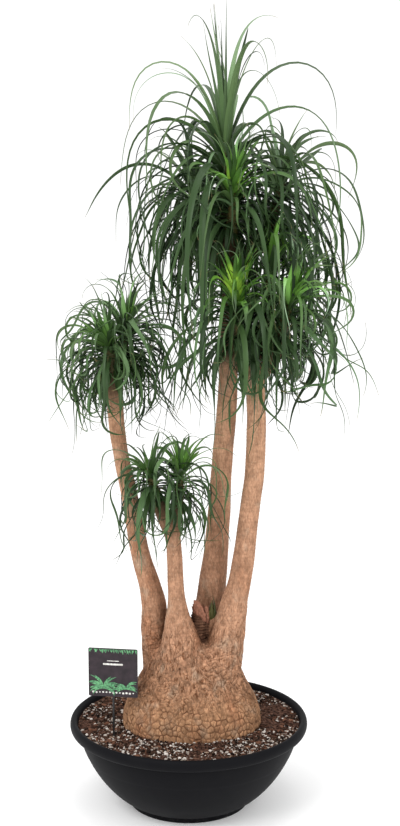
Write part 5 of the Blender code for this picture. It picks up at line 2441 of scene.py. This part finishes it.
    def build_stake(self) -> bpy.types.Object:
        """Makes the stake, with chamfered edges and a pointed foot.

        Returns:
            The stake.
        """
        half, thick, cut = self.stake_width / 2, self.stake_thickness / 2, self.chamfer
        section = (
            (half - cut, -thick), (half, -thick + cut), (half, thick - cut), (half - cut, thick),
            (cut - half, thick), (-half, thick - cut), (-half, cut - thick), (cut - half, -thick),
        )
        tall, narrow = self.point
        levels = ((-self.stake_depth, narrow), (tall - self.stake_depth, 1.0), (self.bottom + self.stake_up, 1.0))
        batch = Batch()
        rows = [(x * size, y * size, z) for z, size in levels for x, y in section]
        batch.add(np.array(rows), sleeve(len(levels), len(section)))
        return self.finish(batch, "label_rod", StakeFinish().build(), Slot.STAKE, "label_stake")

    def build(self) -> None:
        """Makes the whole label."""
        self.build_stake()
        self.build_card()
        self.build_fan()
        self.build_dots()


@dataclass
class Palm:
    """The whole plant: its trunk and its heads of leaves."""

    trunk: Trunk = field(default_factory=Trunk)

    def build(self) -> None:
        """Makes the trunk, then grows and makes each head."""
        self.trunk.build()
        growth = Growth(self.trunk)
        material = LeafFinish().build()
        for owner, plan in enumerate(HEADS):
            if plan.more == 0:
                shoot = Shoot(plan, material)
                shoot.build(shoot.sprouts())
                continue
            fixed = growth.fixed_for(owner)
            leaves = growth.grow_main(owner, fixed) + growth.grow_more(owner, fixed)
            Head(plan, material).build(leaves)
            LOG.info("%s: %d leaves", plan.name, len(leaves))


@dataclass
class Studio:
    """The pale floor, the soft lights and the camera."""

    camera_place: Triple = (0.026, -3.0, 1.356)
    camera_down: float = math.radians(8.44)
    focal_px: float = 1350.0
    image: tuple[int, int] = (400, 826)
    sensor: float = 36.0
    sky: Triple = (1.0, 1.0, 1.0)
    sky_strength: float = 1.12
    aim: Triple = (0.05, 0.0, 0.9)
    floor_half: float = 30.0

    def build_floor(self) -> None:
        """Makes the floor."""
        shape = bmesh.new()
        bmesh.ops.create_grid(shape, x_segments=8, y_segments=8, size=self.floor_half)
        mesh = bpy.data.meshes.new("floor")
        shape.to_mesh(mesh)
        shape.free()
        mesh.materials.append(FloorFinish().build())
        floor = bpy.data.objects.new("floor", mesh)
        bpy.context.scene.collection.objects.link(floor)

    def add_light(self, name: str, place: Triple, size: float, power: float) -> None:
        """Adds a square soft light that faces the plant.

        Args:
            name: Its name.
            place: Where it hangs.
            size: Its side.
            power: Its power in watts.
        """
        light = bpy.data.lights.new(name, "AREA")
        light.size = size
        light.energy = power
        made = bpy.data.objects.new(name, light)
        made.location = place
        made.rotation_euler = (Vector(self.aim) - Vector(place)).to_track_quat("-Z", "Y").to_euler()
        bpy.context.scene.collection.objects.link(made)

    def build_lights(self) -> None:
        """Makes the even white surround and the soft lights."""
        world = bpy.data.worlds.new("surround")
        world.use_nodes = True
        background = world.node_tree.nodes["Background"]
        background.inputs["Color"].default_value = (*self.sky, 1.0)
        background.inputs["Strength"].default_value = self.sky_strength
        bpy.context.scene.world = world
        self.add_light("key", (-1.6, -2.6, 3.2), 1.6, 60.0)
        self.add_light("fill", (2.4, -2.2, 1.8), 1.8, 18.0)
        self.add_light("top", (0.2, 0.2, 3.6), 2.0, 14.0)

    def build_camera(self) -> None:
        """Makes the camera at the viewer's place."""
        camera = bpy.data.cameras.new("camera")
        camera.sensor_width = self.sensor
        camera.lens = self.focal_px * self.sensor / max(self.image)
        camera.clip_start = 0.05
        camera.clip_end = 100.0
        made = bpy.data.objects.new("camera", camera)
        made.location = self.camera_place
        made.rotation_euler = (math.pi / 2 - self.camera_down, 0.0, 0.0)
        bpy.context.scene.collection.objects.link(made)
        bpy.context.scene.camera = made

    def build(self) -> None:
        """Makes the whole studio."""
        self.build_floor()
        self.build_lights()
        self.build_camera()
        bpy.context.scene.view_settings.view_transform = "Standard"


def main() -> None:
    """Builds every piece in order; each piece's face count is logged as it is put on the frame."""
    logging.basicConfig(level=logging.INFO, format="%(name)s %(message)s")
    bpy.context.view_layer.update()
    bowl = Bowl()
    bowl.build()
    Soil(bowl).build()
    Palm().build()
    Label().build()
    Studio().build()
    bpy.context.view_layer.update()


if __name__ == "__main__":
    main()
